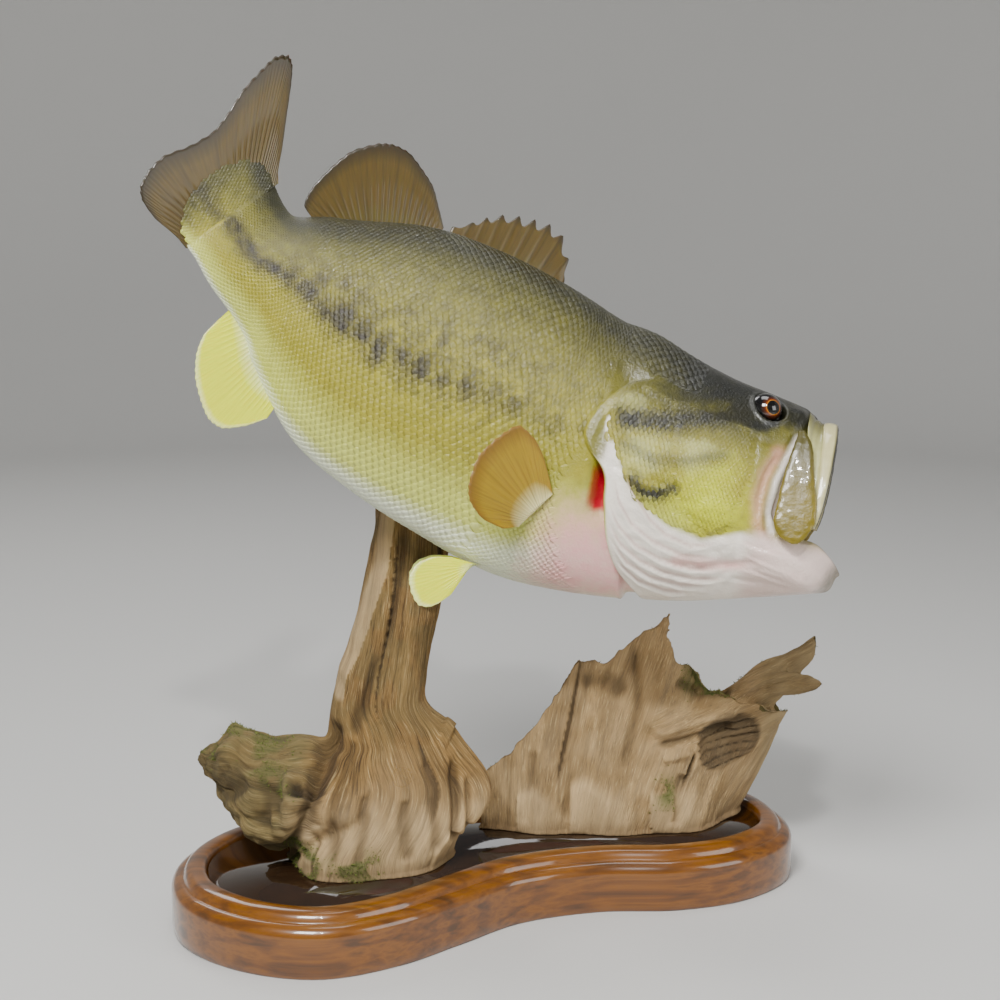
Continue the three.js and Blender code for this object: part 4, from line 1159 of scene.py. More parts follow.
def boneMesh(name, table, side, across, dish, roughMm):
    # a flat bone: its faces dished a little, its rim rounded, its surface finely pitted
    keys = np.arange(len(table), dtype=float)
    columns = np.column_stack([keys, np.array(table, float)])
    t = np.linspace(0, len(table) - 1, jawBones["steps"])
    ahead, up, out, wide, thick = [smooth(columns, c, t) for c in range(1, 6)]
    centre = headPoint(ahead, up, side * out)
    forward = unit(np.gradient(centre, axis=0))
    flat = unit(across - forward * (forward @ across)[:, None])
    thin = np.cross(forward, flat)
    spin = np.arange(jawBones["sides"]) * 2 * math.pi / jawBones["sides"]
    x = np.sign(np.cos(spin)) * np.abs(np.cos(spin)) ** 0.85
    y = np.sin(spin) * (1 - dish * (1 - np.abs(np.cos(spin))))
    rows = (
        centre[:, None] + flat[:, None] * (x * np.maximum(wide, 0.4)[:, None])[..., None]
        + thin[:, None] * (y * np.maximum(thick, 0.4)[:, None])[..., None]
    )
    pits = valueNoise(rows.reshape(-1, 3) / roughMm, 3).reshape(rows.shape[:2]) - 0.6
    rows = rows + gridNormals(rows) * (pits * 0.6)[..., None]
    ends = np.vstack([rows[0].mean(0), rows[-1].mean(0)])
    count, sides = rows.shape[:2]
    share = np.append(np.repeat(t / t[-1], sides), [0, 1])
    edge = np.append(np.tile(x, count), [0, 0])
    points = np.vstack([rows.reshape(-1, 3), ends])
    piece = makeMesh(name, points, tubeFaces(count, sides), {"share": share, "edge": edge})
    fixNormals(piece)
    return piece


def sheetMesh(name, front, back, masks):
    # a thin closed sheet from two matching grids of points; masks are given once for both faces
    rows, columns = front.shape[:2]
    size = rows * columns
    faces = gridFaces(rows, columns, False)
    faces += [[size + v for v in f[::-1]] for f in faces]
    border = [*range(columns - 1), *[r * columns + columns - 1 for r in range(rows - 1)]]
    border += [size - 1 - c for c in range(columns - 1)] + [(rows - 1 - r) * columns for r in range(rows - 1)]
    for k, a in enumerate(border):
        b = border[(k + 1) % len(border)]
        faces.append([b, a, a + size, b + size])
    points = np.vstack([front.reshape(-1, 3), back.reshape(-1, 3)])
    piece = makeMesh(name, points, faces, {key: np.tile(value.ravel(), 2) for key, value in masks.items()})
    fixNormals(piece)
    return piece


def makeWeb(name, material):
    # from one corner of the mouth over the snout to the other
    edges = []
    for key in ("webRear", "webFront"):
        one = jawBones[key]
        whole = np.array([[a, u, -o] for a, u, o in one[:0:-1]] + one, float)
        keyed = np.column_stack([np.linspace(-1, 1, len(whole)), whole])
        t = np.linspace(-1, 1, 161)
        edges.append(headPoint(*[smooth(keyed, c, t) for c in (1, 2, 3)]))
    over = np.linspace(0, 1, 13)[:, None, None]
    middle = headPoint(40.0, 0.0, 0.0)
    grid = edges[0][None] * (1 - over) + edges[1][None] * over
    inward = unit(middle - grid)
    folds = 0.35 * np.sin(over * 19 + 1.5 * np.abs(t)[None, :, None] * 4)
    grid = grid + inward * (jawBones["webSag"] * np.sin(math.pi * over) + folds)
    back = grid + inward * jawBones["webThickness"]
    masks = {"down": np.repeat(np.abs(t)[None], 13, 0)}
    return finishPiece(sheetMesh(name, grid, back, masks), material, [])


def makePlainMaterial(name, hexes, patchMm, roughness, coat, bumpMm, bumpDepth, tint=None):
    # two tones broken by noise, an optional tint where an attribute says so, and a fine relief
    material, tree, shader = newMaterial(name)
    shade = mixed(tree, patternNoise(tree, patchMm), colour(hexes[0]), colour(hexes[1]))
    if tint:
        where, text, low, high = tint
        shade = mixed(tree, gated(tree, attribute(tree, where), low, high), shade, colour(text))
    setSockets(tree, shader, {
        "Base Color": shade, "Roughness": roughness, "Coat Weight": coat, "Coat Roughness": 0.05,
    })
    addBump(tree, shader, patternNoise(tree, bumpMm, 4.0), 0.6, bumpDepth)
    return material


# lacquered jaw bone: olive gold with fine pits, darker towards its upper end
maxillaMaterial = makePlainMaterial(
    "lacquered jaw bone", ("#564c04", "#8c7a12"), 3.5, 0.35, 0.45, 1.6, 0.4, ("share", "#4c4614", 0.50, 0.12),
)
# lacquered lip: cream, with painted shade as a dark band along its outer rim
lipMaterial = makePlainMaterial(
    "lacquered lip", ("#d9d09a", "#b9b27a"), 6, 0.3, 1.0, 1.4, 0.2, ("edge", "#1d1b0e", 0.45, 0.95),
)
# thin lacquered skin of the mouth's rim: cream green, olive towards the snout
webMaterial = makePlainMaterial(
    "lacquered lip skin", ("#cfcf96", "#b3ad6c"), 4, 0.3, 1.0, 1.4, 0.3, ("down", "#5b5724", 0.55, 0.10),
)
# wet-looking tongue
tongueMaterial = makePlainMaterial("painted tongue", ("#d9a89c", "#e6beb0"), 5, 0.3, 1.0, 1.5, 0.3)
for word, side in bothSides:
    bone = boneMesh(f"maxilla_{word}_bone", jawBones["maxilla"], side, headAxis, 0.3, 2.2)
    finishPiece(bone, maxillaMaterial, [f"maxilla_{word}"])
lipTable = [[a, u, -o, w, t] for a, u, o, w, t in jawBones["premaxilla"][:0:-1]] + jawBones["premaxilla"]
finishPiece(boneMesh("upper_lip", lipTable, 1, headAxis, 0.1, 2.4), lipMaterial, ["premaxilla"])
tongue = boneMesh("tongue_flesh", jawBones["tongue"], 1, headSide, 0.2, 3.0)
finishPiece(tongue, tongueMaterial, ["tongue"])
makeWeb("upper_lip_skin", webMaterial)
print("jaws done")


# Geometry Nodes that set small cones over a surface where its moss mask says so, then make them real.
def scatterTree(name, inputs, material):
    tree = bpy.data.node_groups.new(name, "GeometryNodeTree")
    tree.interface.new_socket("Geometry", in_out="INPUT", socket_type="NodeSocketGeometry")
    for label, value in inputs.items():
        kind = "NodeSocketInt" if isinstance(value, int) else "NodeSocketFloat"
        socket = tree.interface.new_socket(label, in_out="INPUT", socket_type=kind)
        socket.default_value = value
    tree.interface.new_socket("Geometry", in_out="OUTPUT", socket_type="NodeSocketGeometry")
    source = addNode(tree, "NodeGroupInput")
    blade = addNode(tree, "GeometryNodeMeshCone", links={
        "Vertices": 4, "Radius Top": 0.0, "Radius Bottom": (source, "Thickness"), "Depth": (source, "Length"),
    })
    mask = addNode(tree, "GeometryNodeInputNamedAttribute", {"data_type": "FLOAT"}, {"Name": "moss"})
    density = maths(tree, "MULTIPLY", (source, "Density"), (mask, "Attribute"))
    points = addNode(
        tree, "GeometryNodeDistributePointsOnFaces",
        links={"Mesh": (source, "Geometry"), "Density": density, "Seed": (source, "Seed")},
    )
    lean = addNode(
        tree, "FunctionNodeRandomValue", {"data_type": "FLOAT_VECTOR"},
        {0: (-0.6, -0.6, -0.6), 1: (0.6, 0.6, 0.6), "Seed": (source, "Seed")},
    )
    turned = addNode(
        tree, "FunctionNodeRotateRotation", links={"Rotation": (points, "Rotation"), "Rotate By": (lean, 0)},
    )
    size = addNode(
        tree, "FunctionNodeRandomValue", {"data_type": "FLOAT"}, {2: 0.5, 3: 1.3, "Seed": (source, "Seed")},
    )
    placed = addNode(tree, "GeometryNodeInstanceOnPoints", links={
        "Points": (points, "Points"), "Instance": (blade, "Mesh"),
        "Rotation": (turned, 0), "Scale": (size, 1),
    })
    real = addNode(tree, "GeometryNodeRealizeInstances", links={"Geometry": (placed, 0)})
    painted = addNode(
        tree, "GeometryNodeSetMaterial", links={"Geometry": (real, 0), "Material": material},
    )
    addNode(tree, "NodeGroupOutput", links={"Geometry": (painted, 0)})
    return tree


def growOver(carrier, name, tree, values):
    # runs the tree over a carrier and returns the result as a plain mesh piece
    modifier = carrier.modifiers.new("grow", "NODES")
    modifier.node_group = tree
    sockets = {item.name: item.identifier for item in tree.interface.items_tree if item.in_out == "INPUT"}
    for label, value in values.items():
        modifier[sockets[label]] = value
    graph = bpy.context.evaluated_depsgraph_get()
    mesh = bpy.data.meshes.new_from_object(carrier.evaluated_get(graph))
    carrier.modifiers.remove(modifier)
    mesh.name = name
    piece = bpy.data.objects.new(name, mesh)
    scene.collection.objects.link(piece)
    return piece


# gills: red arches carrying rows of fine filaments, seen in the slit behind the cover
gillLook = {
    "from": 72,
    "to": 138,
    "every": 0.9,
    "arches": [(-56, 6.0), (-48, 7.5), (-40, 9.0)],  # ahead of the head's centre, and depth
    "filament": 7.0,
}


def makeGills(word, side, material):
    points, faces, depthOf = [], [], []
    for archAhead, deep in gillLook["arches"]:
        turns = np.arange(gillLook["from"], gillLook["to"], gillLook["every"])
        for turn in turns:
            base = len(points)
            signed = turn if side > 0 else 360 - turn
            steps = ((0, deep + 3), (-3.5, deep + 0.8), (-gillLook["filament"], deep))
            for k, (shift, sunk) in enumerate(steps):
                for spread in (-0.22, 0.22):
                    at = np.array(archAhead + shift), np.array(signed + spread)
                    points += [skullPoint(*at, sunk), skullPoint(*at, sunk + 0.5)]
                    depthOf += [k / 2, k / 2]
            for k in (0, 1):
                a = base + 4 * k
                b = a + 4
                faces += [[a, a + 2, b + 2, b], [a + 1, b + 1, b + 3, a + 3], [a, b, b + 1, a + 1]]
                faces += [[a + 2, a + 3, b + 3, b + 2]]
            faces += [[base, base + 1, base + 3, base + 2], [base + 8, base + 10, base + 11, base + 9]]
    piece = makeMesh(f"gill_filaments_{word}", points, faces, {"reach": depthOf})
    fixNormals(piece)
    return finishPiece(piece, material, [f"gills_{word}"])


# wet red filaments, with painted shade darkening them towards their roots deep in the slit
gillMaterial = makePlainMaterial(
    "painted gills", ("#b0162c", "#d0344a"), 3, 0.3, 1.0, 1.0, 0.1, ("reach", "#7c0a1c", 0.4, 0.0),
)
for word, side in bothSides:
    makeGills(word, side, gillMaterial)


# fins, from the solids' own tables; reach is the share of a ray's length
fins = {
    "soft_dorsal_fin": {
        "station": 95, "base": [54, 127], "root": 2.4, "edge": 0.8, "rays": 26, "on": "back",
        "tips": [
            [-46, 40], [-55, 44], [-57, 57], [-54, 76], [-49, 92], [-38, 106], [-29, 112], [-17, 114],
            [-3, 110], [9, 105], [21, 95], [30, 87],
        ],
    },
    "spiny_dorsal_fin": {
        "station": 175, "base": [132, 219], "root": 2, "edge": 0.8, "rays": 9, "on": "back", "spiny": 0.20,
        "tips": [
            [-42, 91], [-31, 102], [-24, 111], [-14, 119], [-2, 124], [9, 128], [22, 129], [36, 117],
            [42, 101],
        ],
    },
    "anal_fin": {
        "station": 65, "base": [40, 98], "root": 2.4, "edge": 0.8, "rays": 24, "on": "belly",
        "tips": [
            [-30, -53], [-32, -65], [-29, -78], [-21, -91], [-10, -101], [1, -108], [12, -108], [24, -98],
            [33, -86],
        ],
    },
    "tail_fin": {
        "station": 0, "base": [36, -41], "root": 4, "edge": 0.8, "rays": 34, "on": "tail",
        "tips": [
            [5, 42], [14, 52], [28, 65], [44, 80], [54, 88], [61, 89], [65, 80], [63, 66], [59, 48], [52, 30],
            [48, 15], [49, -3], [53, -22], [51, -36], [46, -46], [38, -50], [24, -49], [8, -43],
        ],
    },
    "pectoral_fin": {
        "station": 268, "base": [[12, -33, 62], [0, -60, 60]], "root": 2.2, "edge": 0.8, "rays": 22,
        "on": "side",
        "tips": [
            [10, -29, 65], [-2, -13, 74], [-11, -5, 80], [-24, -1, 86], [-33, -14, 93], [-39, -29, 98],
            [-38, -47, 101], [-33, -57, 99], [-22, -64, 92], [-8, -65, 79],
        ],
    },
    "pelvic_fin": {
        "station": 245, "base": [[20, -94, 18], [14, -96, 19]], "root": 2.2, "edge": 0.8, "rays": 14,
        "on": "side",
        "tips": [
            [0, -99, 20], [-11, -105, 23], [-18, -114, 26], [-18, -124, 28], [-12, -132, 29], [-4, -137, 29],
            [3, -135, 28], [8, -129, 26], [12, -121, 23],
        ],
    },
}
finDetail = {"perRay": 7, "alongRay": 34, "membrane": 0.62, "sunk": 6, "streaks": 46.0}


# scaled flesh that runs out over the middle of the tail fin, as full as the body where it starts
tailFlesh = {
    "length": 30,
    "least": 5,
    "height": 47,
    "middle": -3.5,
    "reach": 38.5,
    "thickness": 5.2,
    "fin": 1.8,
    "scales": {"half": 37.5, "pitchShare": 0.42, "columns": 30, "rows": 36},  # over this half height
}


def fleshAt(behind, high):
    reach = tailFlesh["least"] + tailFlesh["length"] * np.clip(1 - (high / tailFlesh["height"]) ** 2, 0, 1)
    lens = np.sqrt(np.clip(1 - ((high - tailFlesh["middle"]) / tailFlesh["reach"]) ** 2, 0, 1))
    return np.clip(tailFlesh["thickness"] * lens - tailFlesh["fin"], 0, 9) * ramp(reach, -6, behind)


def tailSurface(s, turn, side, depth):
    # the flesh over the fin's root; s runs back from the tail's base, below zero
    behind = np.maximum(-s, -3)
    centre, forward, up, sideways = bodyFrame(0.0)
    high = tailFlesh["middle"] + tailFlesh["scales"]["half"] * np.cos(np.radians(turn)) * (1 + behind / 110)
    fin = fins["tail_fin"]
    half = lerp(fin["root"], fin["edge"], np.clip(behind / 62, 0, 1)) / 2 * 0.9 + fleshAt(behind, high)
    out = side * (half - depth)
    return centre - forward * behind[..., None] + up * high[..., None] + sideways * out[..., None]


def tailRoots():
    roots = []
    facts = tailFlesh["scales"]
    pitch, rows = scaleShape["pitch"] * facts["pitchShare"], facts["rows"]
    for column in range(facts["columns"]):
        at = 6 - column * pitch / 2
        shares = (np.arange(rows // 2) * 2 + column % 2 + 0.5) / rows
        turns = np.degrees(np.arccos(np.clip(1 - 2 * shares, -1, 1)))
        roots += [[at, turn, 78 / rows, pitch] for turn in turns]
    roots = np.array(roots)
    high = tailFlesh["middle"] + facts["half"] * np.cos(np.radians(roots[:, 1]))
    return roots[fleshAt(-roots[:, 0] + 3, high) > 0.25]


def tailMasks(roots, side):
    points = tailSurface(roots[:, 0], roots[:, 1], side, 0.0)
    masks = markingMasks(points, roots[:, 1], np.full(len(roots), -headAlong), np.full(len(roots), "trunk"))
    masks["shoulder"] = np.maximum(masks["shoulder"], 0.95 * ramp(6, -18, roots[:, 0]))
    masks["back"] = np.maximum(masks["back"], 0.6 * ramp(2, -24, roots[:, 0]))
    return masks


def makeFin(name, facts, side, material, nodeName):
    centre, forward, up, sideways = bodyFrame(float(facts["station"]))
    count = len(facts["tips"])
    share = np.linspace(0, 1, facts["rays"] * finDetail["perRay"] + 1)
    keyed = np.column_stack([np.linspace(0, 1, count), np.array(facts["tips"], float)])
    # the outline bends softly between its points but never past them
    fine = [np.interp(share, keyed[:, 0], keyed[:, c]) * 0.35 + smooth(keyed, c, share) * 0.65
            for c in range(1, keyed.shape[1])]
    if facts["on"] in ("back", "belly"):
        onBack = facts["on"] == "back"
        s = lerp(facts["base"][0], facts["base"][1], share)
        high = smooth(body["sections"], 1 if onBack else 2, s) - finDetail["sunk"]
        base = bodyPoint(s, high if onBack else -high, np.zeros_like(s))
        tips = centre + forward * fine[0][:, None] + up * fine[1][:, None]
        across = sideways
    elif facts["on"] == "tail":
        base = centre + forward * 3.0 + up * lerp(facts["base"][0], facts["base"][1], share)[:, None]
        tips = centre - forward * fine[0][:, None] + up * fine[1][:, None]
        across = sideways
    else:
        ends = [centre + forward * a + up * b + sideways * side * o for a, b, o in facts["base"]]
        base = ends[0] + (ends[1] - ends[0]) * share[:, None]
        tips = (
            centre + forward * fine[0][:, None] + up * fine[1][:, None] + sideways * side * fine[2][:, None]
        )
        across = unit(np.cross(tips[-1] - tips[0], tips[len(tips) // 2] - base[0]))
    phase = share * facts["rays"] * 2 * math.pi
    ray = np.clip(np.cos(phase), 0, 1) ** 2
    forked = np.clip(np.cos(phase * 2 + math.pi), 0, 1) ** 2 * 0.9
    t = np.linspace(0, 1, finDetail["alongRay"])[:, None]
    spiny = facts.get("spiny", 0)
    if spiny:
        ray = np.clip(np.cos(phase), 0, 1) ** 6
        stop = 1 - spiny * (0.5 - 0.5 * np.cos(phase)) ** 0.8
        ridge = np.repeat(ray[None], len(t), 0)
    else:
        stop = 1 - 0.012 * (0.5 - 0.5 * np.cos(phase))
        ridge = lerp(ray[None], forked[None], ramp(0.45, 0.8, t))
    reach = t * stop[None]
    middle = base[None] + (tips - base)[None] * reach[..., None]
    half = lerp(facts["root"], facts["edge"], reach) / 2
    half = half * lerp(finDetail["membrane"], 0.95, ridge) * (1 - 0.75 * ramp(0.97, 1.0, t))
    flesh = np.zeros_like(half)
    if facts["on"] == "tail":
        away = middle - centre
        flesh = fleshAt(-(away @ forward), away @ up)
        half = half + flesh
    masks = {"reach": reach, "ray": ridge, "flesh": ramp(0.1, 1.6, flesh), "along": share[None] + 0 * reach}
    piece = sheetMesh(name, middle + across * half[..., None], middle - across * half[..., None], masks)
    return finishPiece(piece, material, [nodeName])


def makeFinMaterial(name, rootHex, midHex, edgeHex, rayHex, rayAmount, edgeAt):
    # clear fin membrane over soft rays: colour runs from the root to the margin, rays drawn in
    material, tree, shader = newMaterial(name)
    reach = attribute(tree, "reach")
    moved = maths(tree, "MULTIPLY_ADD", patternNoise(tree, 7.0), 0.06, reach)
    band = colourBand(tree, moved, [(0.06, rootHex), (0.34, midHex), (edgeAt, midHex), (1.0, edgeHex)])
    wide = maths(tree, "MULTIPLY", attribute(tree, "along"), finDetail["streaks"])
    place = addNode(tree, "ShaderNodeCombineXYZ", links={"X": wide, "Y": reach})
    shadow = gated(tree, noise(tree, (place, 0), 1.0, 5.0, 0.65), 0.42, 0.72, rayAmount * 1.6)
    amount = maths(tree, "MULTIPLY_ADD", attribute(tree, "ray"), rayAmount, shadow, clamp=True)
    shade = mixed(tree, amount, band, colour(rayHex))
    setSockets(tree, shader, {
        "Base Color": mixed(tree, attribute(tree, "flesh"), shade, colour("#6d671c")),
        "Roughness": 0.42, "Coat Weight": 0.25, "Coat Roughness": 0.08,
        "Subsurface Weight": 0.15, "Subsurface Scale": 2.0 * mm,
    })
    return material


brownFin = makeFinMaterial("olive brown fin", "#544a08", "#513f02", "#271d00", "#2c2102", 0.30, 0.80)
amberFin = makeFinMaterial("amber fin", "#efe6a8", "#a38400", "#7e5a00", "#6d5200", 0.26, 0.80)
lemonFin = makeFinMaterial("lemon fin", "#eef2c0", "#e2e814", "#f2f59a", "#c3cb0a", 0.22, 0.93)
for finName in ("soft_dorsal_fin", "spiny_dorsal_fin", "tail_fin"):
    makeFin(f"{finName}_rays", fins[finName], 1, brownFin, finName)
for word, side in bothSides:
    coat = layScales(f"tail_scales_{word}", tailSurface, tailRoots(), side, 0.0, tailMasks)
    finishPiece(coat, scaleMaterial, [])
makeFin("anal_fin_rays", fins["anal_fin"], 1, lemonFin, "anal_fin")
for word, side in bothSides:
    for finName, slotName, material in (
        ("pectoral_fin", "amber_fins", amberFin), ("pelvic_fin", "lemon_fins", lemonFin),
    ):
        node = f"{finName}_{word}"
        makeFin(f"{node}_rays", fins[finName], side, material, node)
print("fins spread")


# driftwood, from the solids' own rings, joined, then worn into grain
wood = {
    "bottom": 37.3,
    "waves": [[0.07, 3, 37, 0], [0.05, 5, -23, 1]],
    "calm": (150, 190, 0.35),  # above its knots the post is nearly straight
    # height, x, y, half width, half depth
    "post": [
        [37.3, -88, -28, 58, 44], [52, -84, -27, 60, 44], [70, -72, -22, 64, 44], [97, -62, -18, 56, 38],
        [114, -67, -14, 50, 34], [132, -73, -9, 44, 31], [146, -79, -6, 36, 29], [161, -77, -3, 34, 28],
        [182, -72, 0, 32, 27], [218, -64, 5, 31, 25], [246, -60, 8, 30, 23], [281, -57, 10, 28, 22],
        [330, -54, 12, 27, 21],
    ],
    # x, y, height, half depth, half height
    "root": [
        [-60, -22, 84, 30, 40], [-105, -24, 81, 42, 44], [-140, -22, 81, 45, 41], [-165, -15, 82, 38, 40],
        [-186, -9, 94, 29, 33], [-198, -6, 96, 19, 16], [-207, -4, 100, 10, 7],
    ],
    "rootStart": 300,
    # x, y of the front at the foot, height of the broken top, lean of the top
    "shard": [
        [-12, 30, 78, 6], [4, 24, 94, 8], [22, 20, 109, 8], [34, 18, 129, 8], [46, 17, 147, 9],
        [55, 16, 165, 10],
        [72, 15, 171, 12], [82, 15, 165, 12], [97, 15, 181, 13], [114, 16, 190, 14], [131, 18, 199, 14],
        [136, 20, 167, 10], [150, 24, 160, 6], [158, 29, 149, 0], [166, 36, 140, -6], [174, 46, 134, -14],
        [184, 58, 127, -30], [188, 72, 118, -32], [185, 88, 92, -25],
    ],
    "foot": 34,
    "top": 7,
    "ripple": (2, 9, 40),
    "arms": [
        [
            [[150, 40, 118], 14, 8], [[182, 50, 128], 18, 9], [[207, 56, 144], 19, 8],
            [[222, 59, 155], 13, 6], [[231, 60, 163], 10, 5], [[238.5, 60, 177], 2.5, 2],
        ],
        [
            [[200, 53, 140], 12, 7], [[222, 44, 144], 11, 5.5], [[233, 36, 145], 7.5, 4],
            [[239.5, 31, 147], 2.5, 2],
        ],
    ],
    "hollow": {"centre": [178, 23, 101], "radii": [28.5, 22, 26]},
    "voxel": 1.3,
    # fibres in the relief: width, length, depth
    "fibres": [[8.0, 120, 2.2], [3.6, 60, 1.3]],
    "splits": {"width": 6.0, "length": 110, "depth": 3.6},
    "wear": 1.8,
    # forms on the front as lines of [x, height], each with how far it stands out and how wide it is
    "stumpForms": [
        {"line": [[-69, 290], [-76, 240], [-86, 213], [-98, 180], [-108, 160]], "rise": 3.2, "width": 7},
        {"line": [[-60, 285], [-68, 220], [-80, 180], [-92, 146], [-98, 126]], "rise": -4.2, "width": 3.5},
        {"line": [[-52, 250], [-56, 190], [-62, 150], [-56, 122]], "rise": 2.6, "width": 8},
        {"line": [[-108, 140], [-120, 108], [-131, 72], [-144, 42]], "rise": -10.0, "width": 6},
        {"line": [[-96, 128], [-104, 98], [-112, 44]], "rise": -3.5, "width": 4},
        {"line": [[-84, 98], [-92, 44]], "rise": -3.0, "width": 3.5},
        {"line": [[-60, 92], [-58, 46]], "rise": -3.5, "width": 4},
        {"line": [[-46, 118], [-40, 84], [-38, 48]], "rise": -3.2, "width": 3.5},
        {"line": [[-27, 116], [-25, 84], [-25, 50]], "rise": -7.0, "width": 2.6},
        {"line": [[-17, 104], [-15, 74], [-15, 52]], "rise": -4.5, "width": 2.2},
        {"line": [[-34, 134], [-26, 130]], "rise": 3.5, "width": 8},
        {"line": [[-150, 112], [-176, 122], [-200, 108]], "rise": 3.0, "width": 7},
        {"line": [[-140, 96], [-165, 98], [-196, 84]], "rise": -5.0, "width": 5},
        {"line": [[-150, 76], [-172, 74], [-190, 66]], "rise": -4.0, "width": 5},
    ],
    "cutKnot": {"at": [-134, 101], "radius": 10, "rise": 3.2, "hollow": 4.5},
    "shardForms": [
        {"line": [[62, 150], [84, 152], [96, 140]], "rise": -3.0, "width": 6},
        {"line": [[100, 178], [104, 130], [96, 84]], "rise": -3.2, "width": 4},
        {"line": [[128, 196], [124, 150], [112, 110]], "rise": 3.2, "width": 6},
        {"line": [[132, 150], [150, 140], [176, 138]], "rise": -3.6, "width": 4},
        {"line": [[114, 110], [148, 118], [182, 126]], "rise": 3.4, "width": 2.6},
        {"line": [[118, 102], [150, 109], [176, 112]], "rise": -4.2, "width": 2.4},
        {"line": [[122, 92], [146, 96]], "rise": 2.4, "width": 2.4},
        {"line": [[70, 120], [60, 80], [52, 44]], "rise": -2.6, "width": 3.5},
        {"line": [[30, 100], [26, 70], [22, 42]], "rise": -2.2, "width": 4},
        {"line": [[140, 82], [134, 60], [132, 42]], "rise": -4.0, "width": 4},
    ],
    # slabs that step out of the foot: where the step is, how far each runs, height, how far it stands out
    "slabs": [[17, 34, 62, 3.0], [56, 50, 70, 3.8], [115, 40, 66, 4.2]],
    "layers": (5.5, 2.4),  # the hollow's broken layers: their spacing and depth
}


def knotShare(angle, height, strength=1.0):
    waves = [
        size * np.sin(turns * angle + height / climb + start) for size, turns, climb, start in wood["waves"]
    ]
    return 1 + strength * sum(waves)


def closedLoft(name, rows):
    count, sides = rows.shape[:2]
    faces = gridFaces(count, sides, True)
    faces.append(list(range(sides)))
    faces.append([(count - 1) * sides + i for i in range(sides)][::-1])
    piece = makeMesh(name, rows.reshape(-1, 3), faces)
    fixNormals(piece)
    return piece


def applied(piece):
    graph = bpy.context.evaluated_depsgraph_get()
    mesh = bpy.data.meshes.new_from_object(piece.evaluated_get(graph))
    piece.modifiers.clear()
    piece.data = mesh
    return piece


def joined(first, others, cutter=None):
    # melts overlapping forms into one even mesh, and cuts a hollow out of it
    bpy.ops.object.select_all(action="DESELECT")
    for piece in (first, *others):
        piece.select_set(True)
    bpy.context.view_layer.objects.active = first
    bpy.ops.object.join()
    for step in ("MELT", "CUT", "MELT"):
        if step == "MELT":
            remesh = first.modifiers.new("melt", "REMESH")
            remesh.mode, remesh.voxel_size, remesh.use_smooth_shade = "VOXEL", wood["voxel"] * mm, True
        elif cutter:
            cut = first.modifiers.new("cut", "BOOLEAN")
            cut.operation, cut.solver, cut.object = "DIFFERENCE", "FAST", cutter
        else:
            break
        applied(first)
    if cutter:
        bpy.data.objects.remove(cutter)
    return first


def meshArrays(piece):
    points = np.empty(len(piece.data.vertices) * 3, np.float32)
    normals = np.empty_like(points)
    piece.data.vertices.foreach_get("co", points)
    piece.data.vertices.foreach_get("normal", normals)
    return points.reshape(-1, 3).astype(float) / mm, normals.reshape(-1, 3).astype(float)


def setPoints(piece, points):
    piece.data.vertices.foreach_set("co", (points * mm).astype(np.float32).ravel())
    piece.data.update()


def fibreNoise(grain, width, length, seed):
    return valueNoise(grain / np.array([width, width, length]), seed)


def formRise(points, normals, forms):
    front = ramp(0.15, -0.35, normals[:, 1])
    rise = np.zeros(len(points))
    for facts in forms:
        distance, share = lineDistance(points[:, 0], points[:, 2], facts["line"])
        ends = ramp(0, 0.12, share) * ramp(0, 0.12, 1 - share)
        wander = 1 + 0.5 * (valueNoise(points / 11, 61) - 0.5)
        rise += facts["rise"] * bell(distance * wander, facts["width"]) * ends
    return rise * front


def wearGrain(piece, grainsOf, featuresOf, seed):
    # fine ridges along the grain, a few deep splits, then soft wear; the grain's places go to the paint
    points, normals = meshArrays(piece)
    first, second, turned = grainsOf(points)
    features = featuresOf(points, normals)
    relief = []
    for grain in (first, second):
        depth = 0
        for k, (width, length, high) in enumerate(wood["fibres"]):
            waves = fibreNoise(grain, width, length, seed + k)
            depth = depth + high * (0.6 * np.abs(2 * waves - 1) + 0.4 * waves - 0.8)
        splits = wood["splits"]
        split = ramp(0.80, 0.93, fibreNoise(grain, splits["width"], splits["length"], seed + 5))
        relief.append(np.stack([depth - splits["depth"] * split, split]))
    depth, split = relief[0] * (1 - turned) + relief[1] * turned
    wear = valueNoise(points / 14, seed + 7)
    smoothed = 1 - 0.8 * features["gloss"]
    rise = depth * smoothed + features["rise"] + wood["wear"] * (wear - 1.0)
    foot = ramp(wood["bottom"], wood["bottom"] + 3, points[:, 2])
    points = points + normals * (rise * foot)[:, None]
    points[:, 2] = np.maximum(points[:, 2], wood["bottom"])
    setPoints(piece, points)
    # painted shade: the deeper the grain's relief and the sunken forms, the darker the wood is painted,
    # darkest in the splits
    hollow = ramp(-0.6, -3.4, depth + np.minimum(features["rise"], 0) * 0.5)
    values = {
        "grooveShade": np.clip(0.75 * hollow + split, 0, 1), "turned": turned, "foot": ramp(50, 37, points[:, 2]),
        **{key: features[key] for key in ("moss", "pale", "grey", "gloss", "dark")},
    }
    for name, numbers in values.items():
        setAttribute(piece.data, name, np.clip(numbers, 0, 1))
    for name, grain in (("grainFirst", first), ("grainSecond", second)):
        setAttribute(piece.data, name, grain * mm, "FLOAT_VECTOR")
    piece.data.polygons.foreach_set("use_smooth", [True] * len(piece.data.polygons))


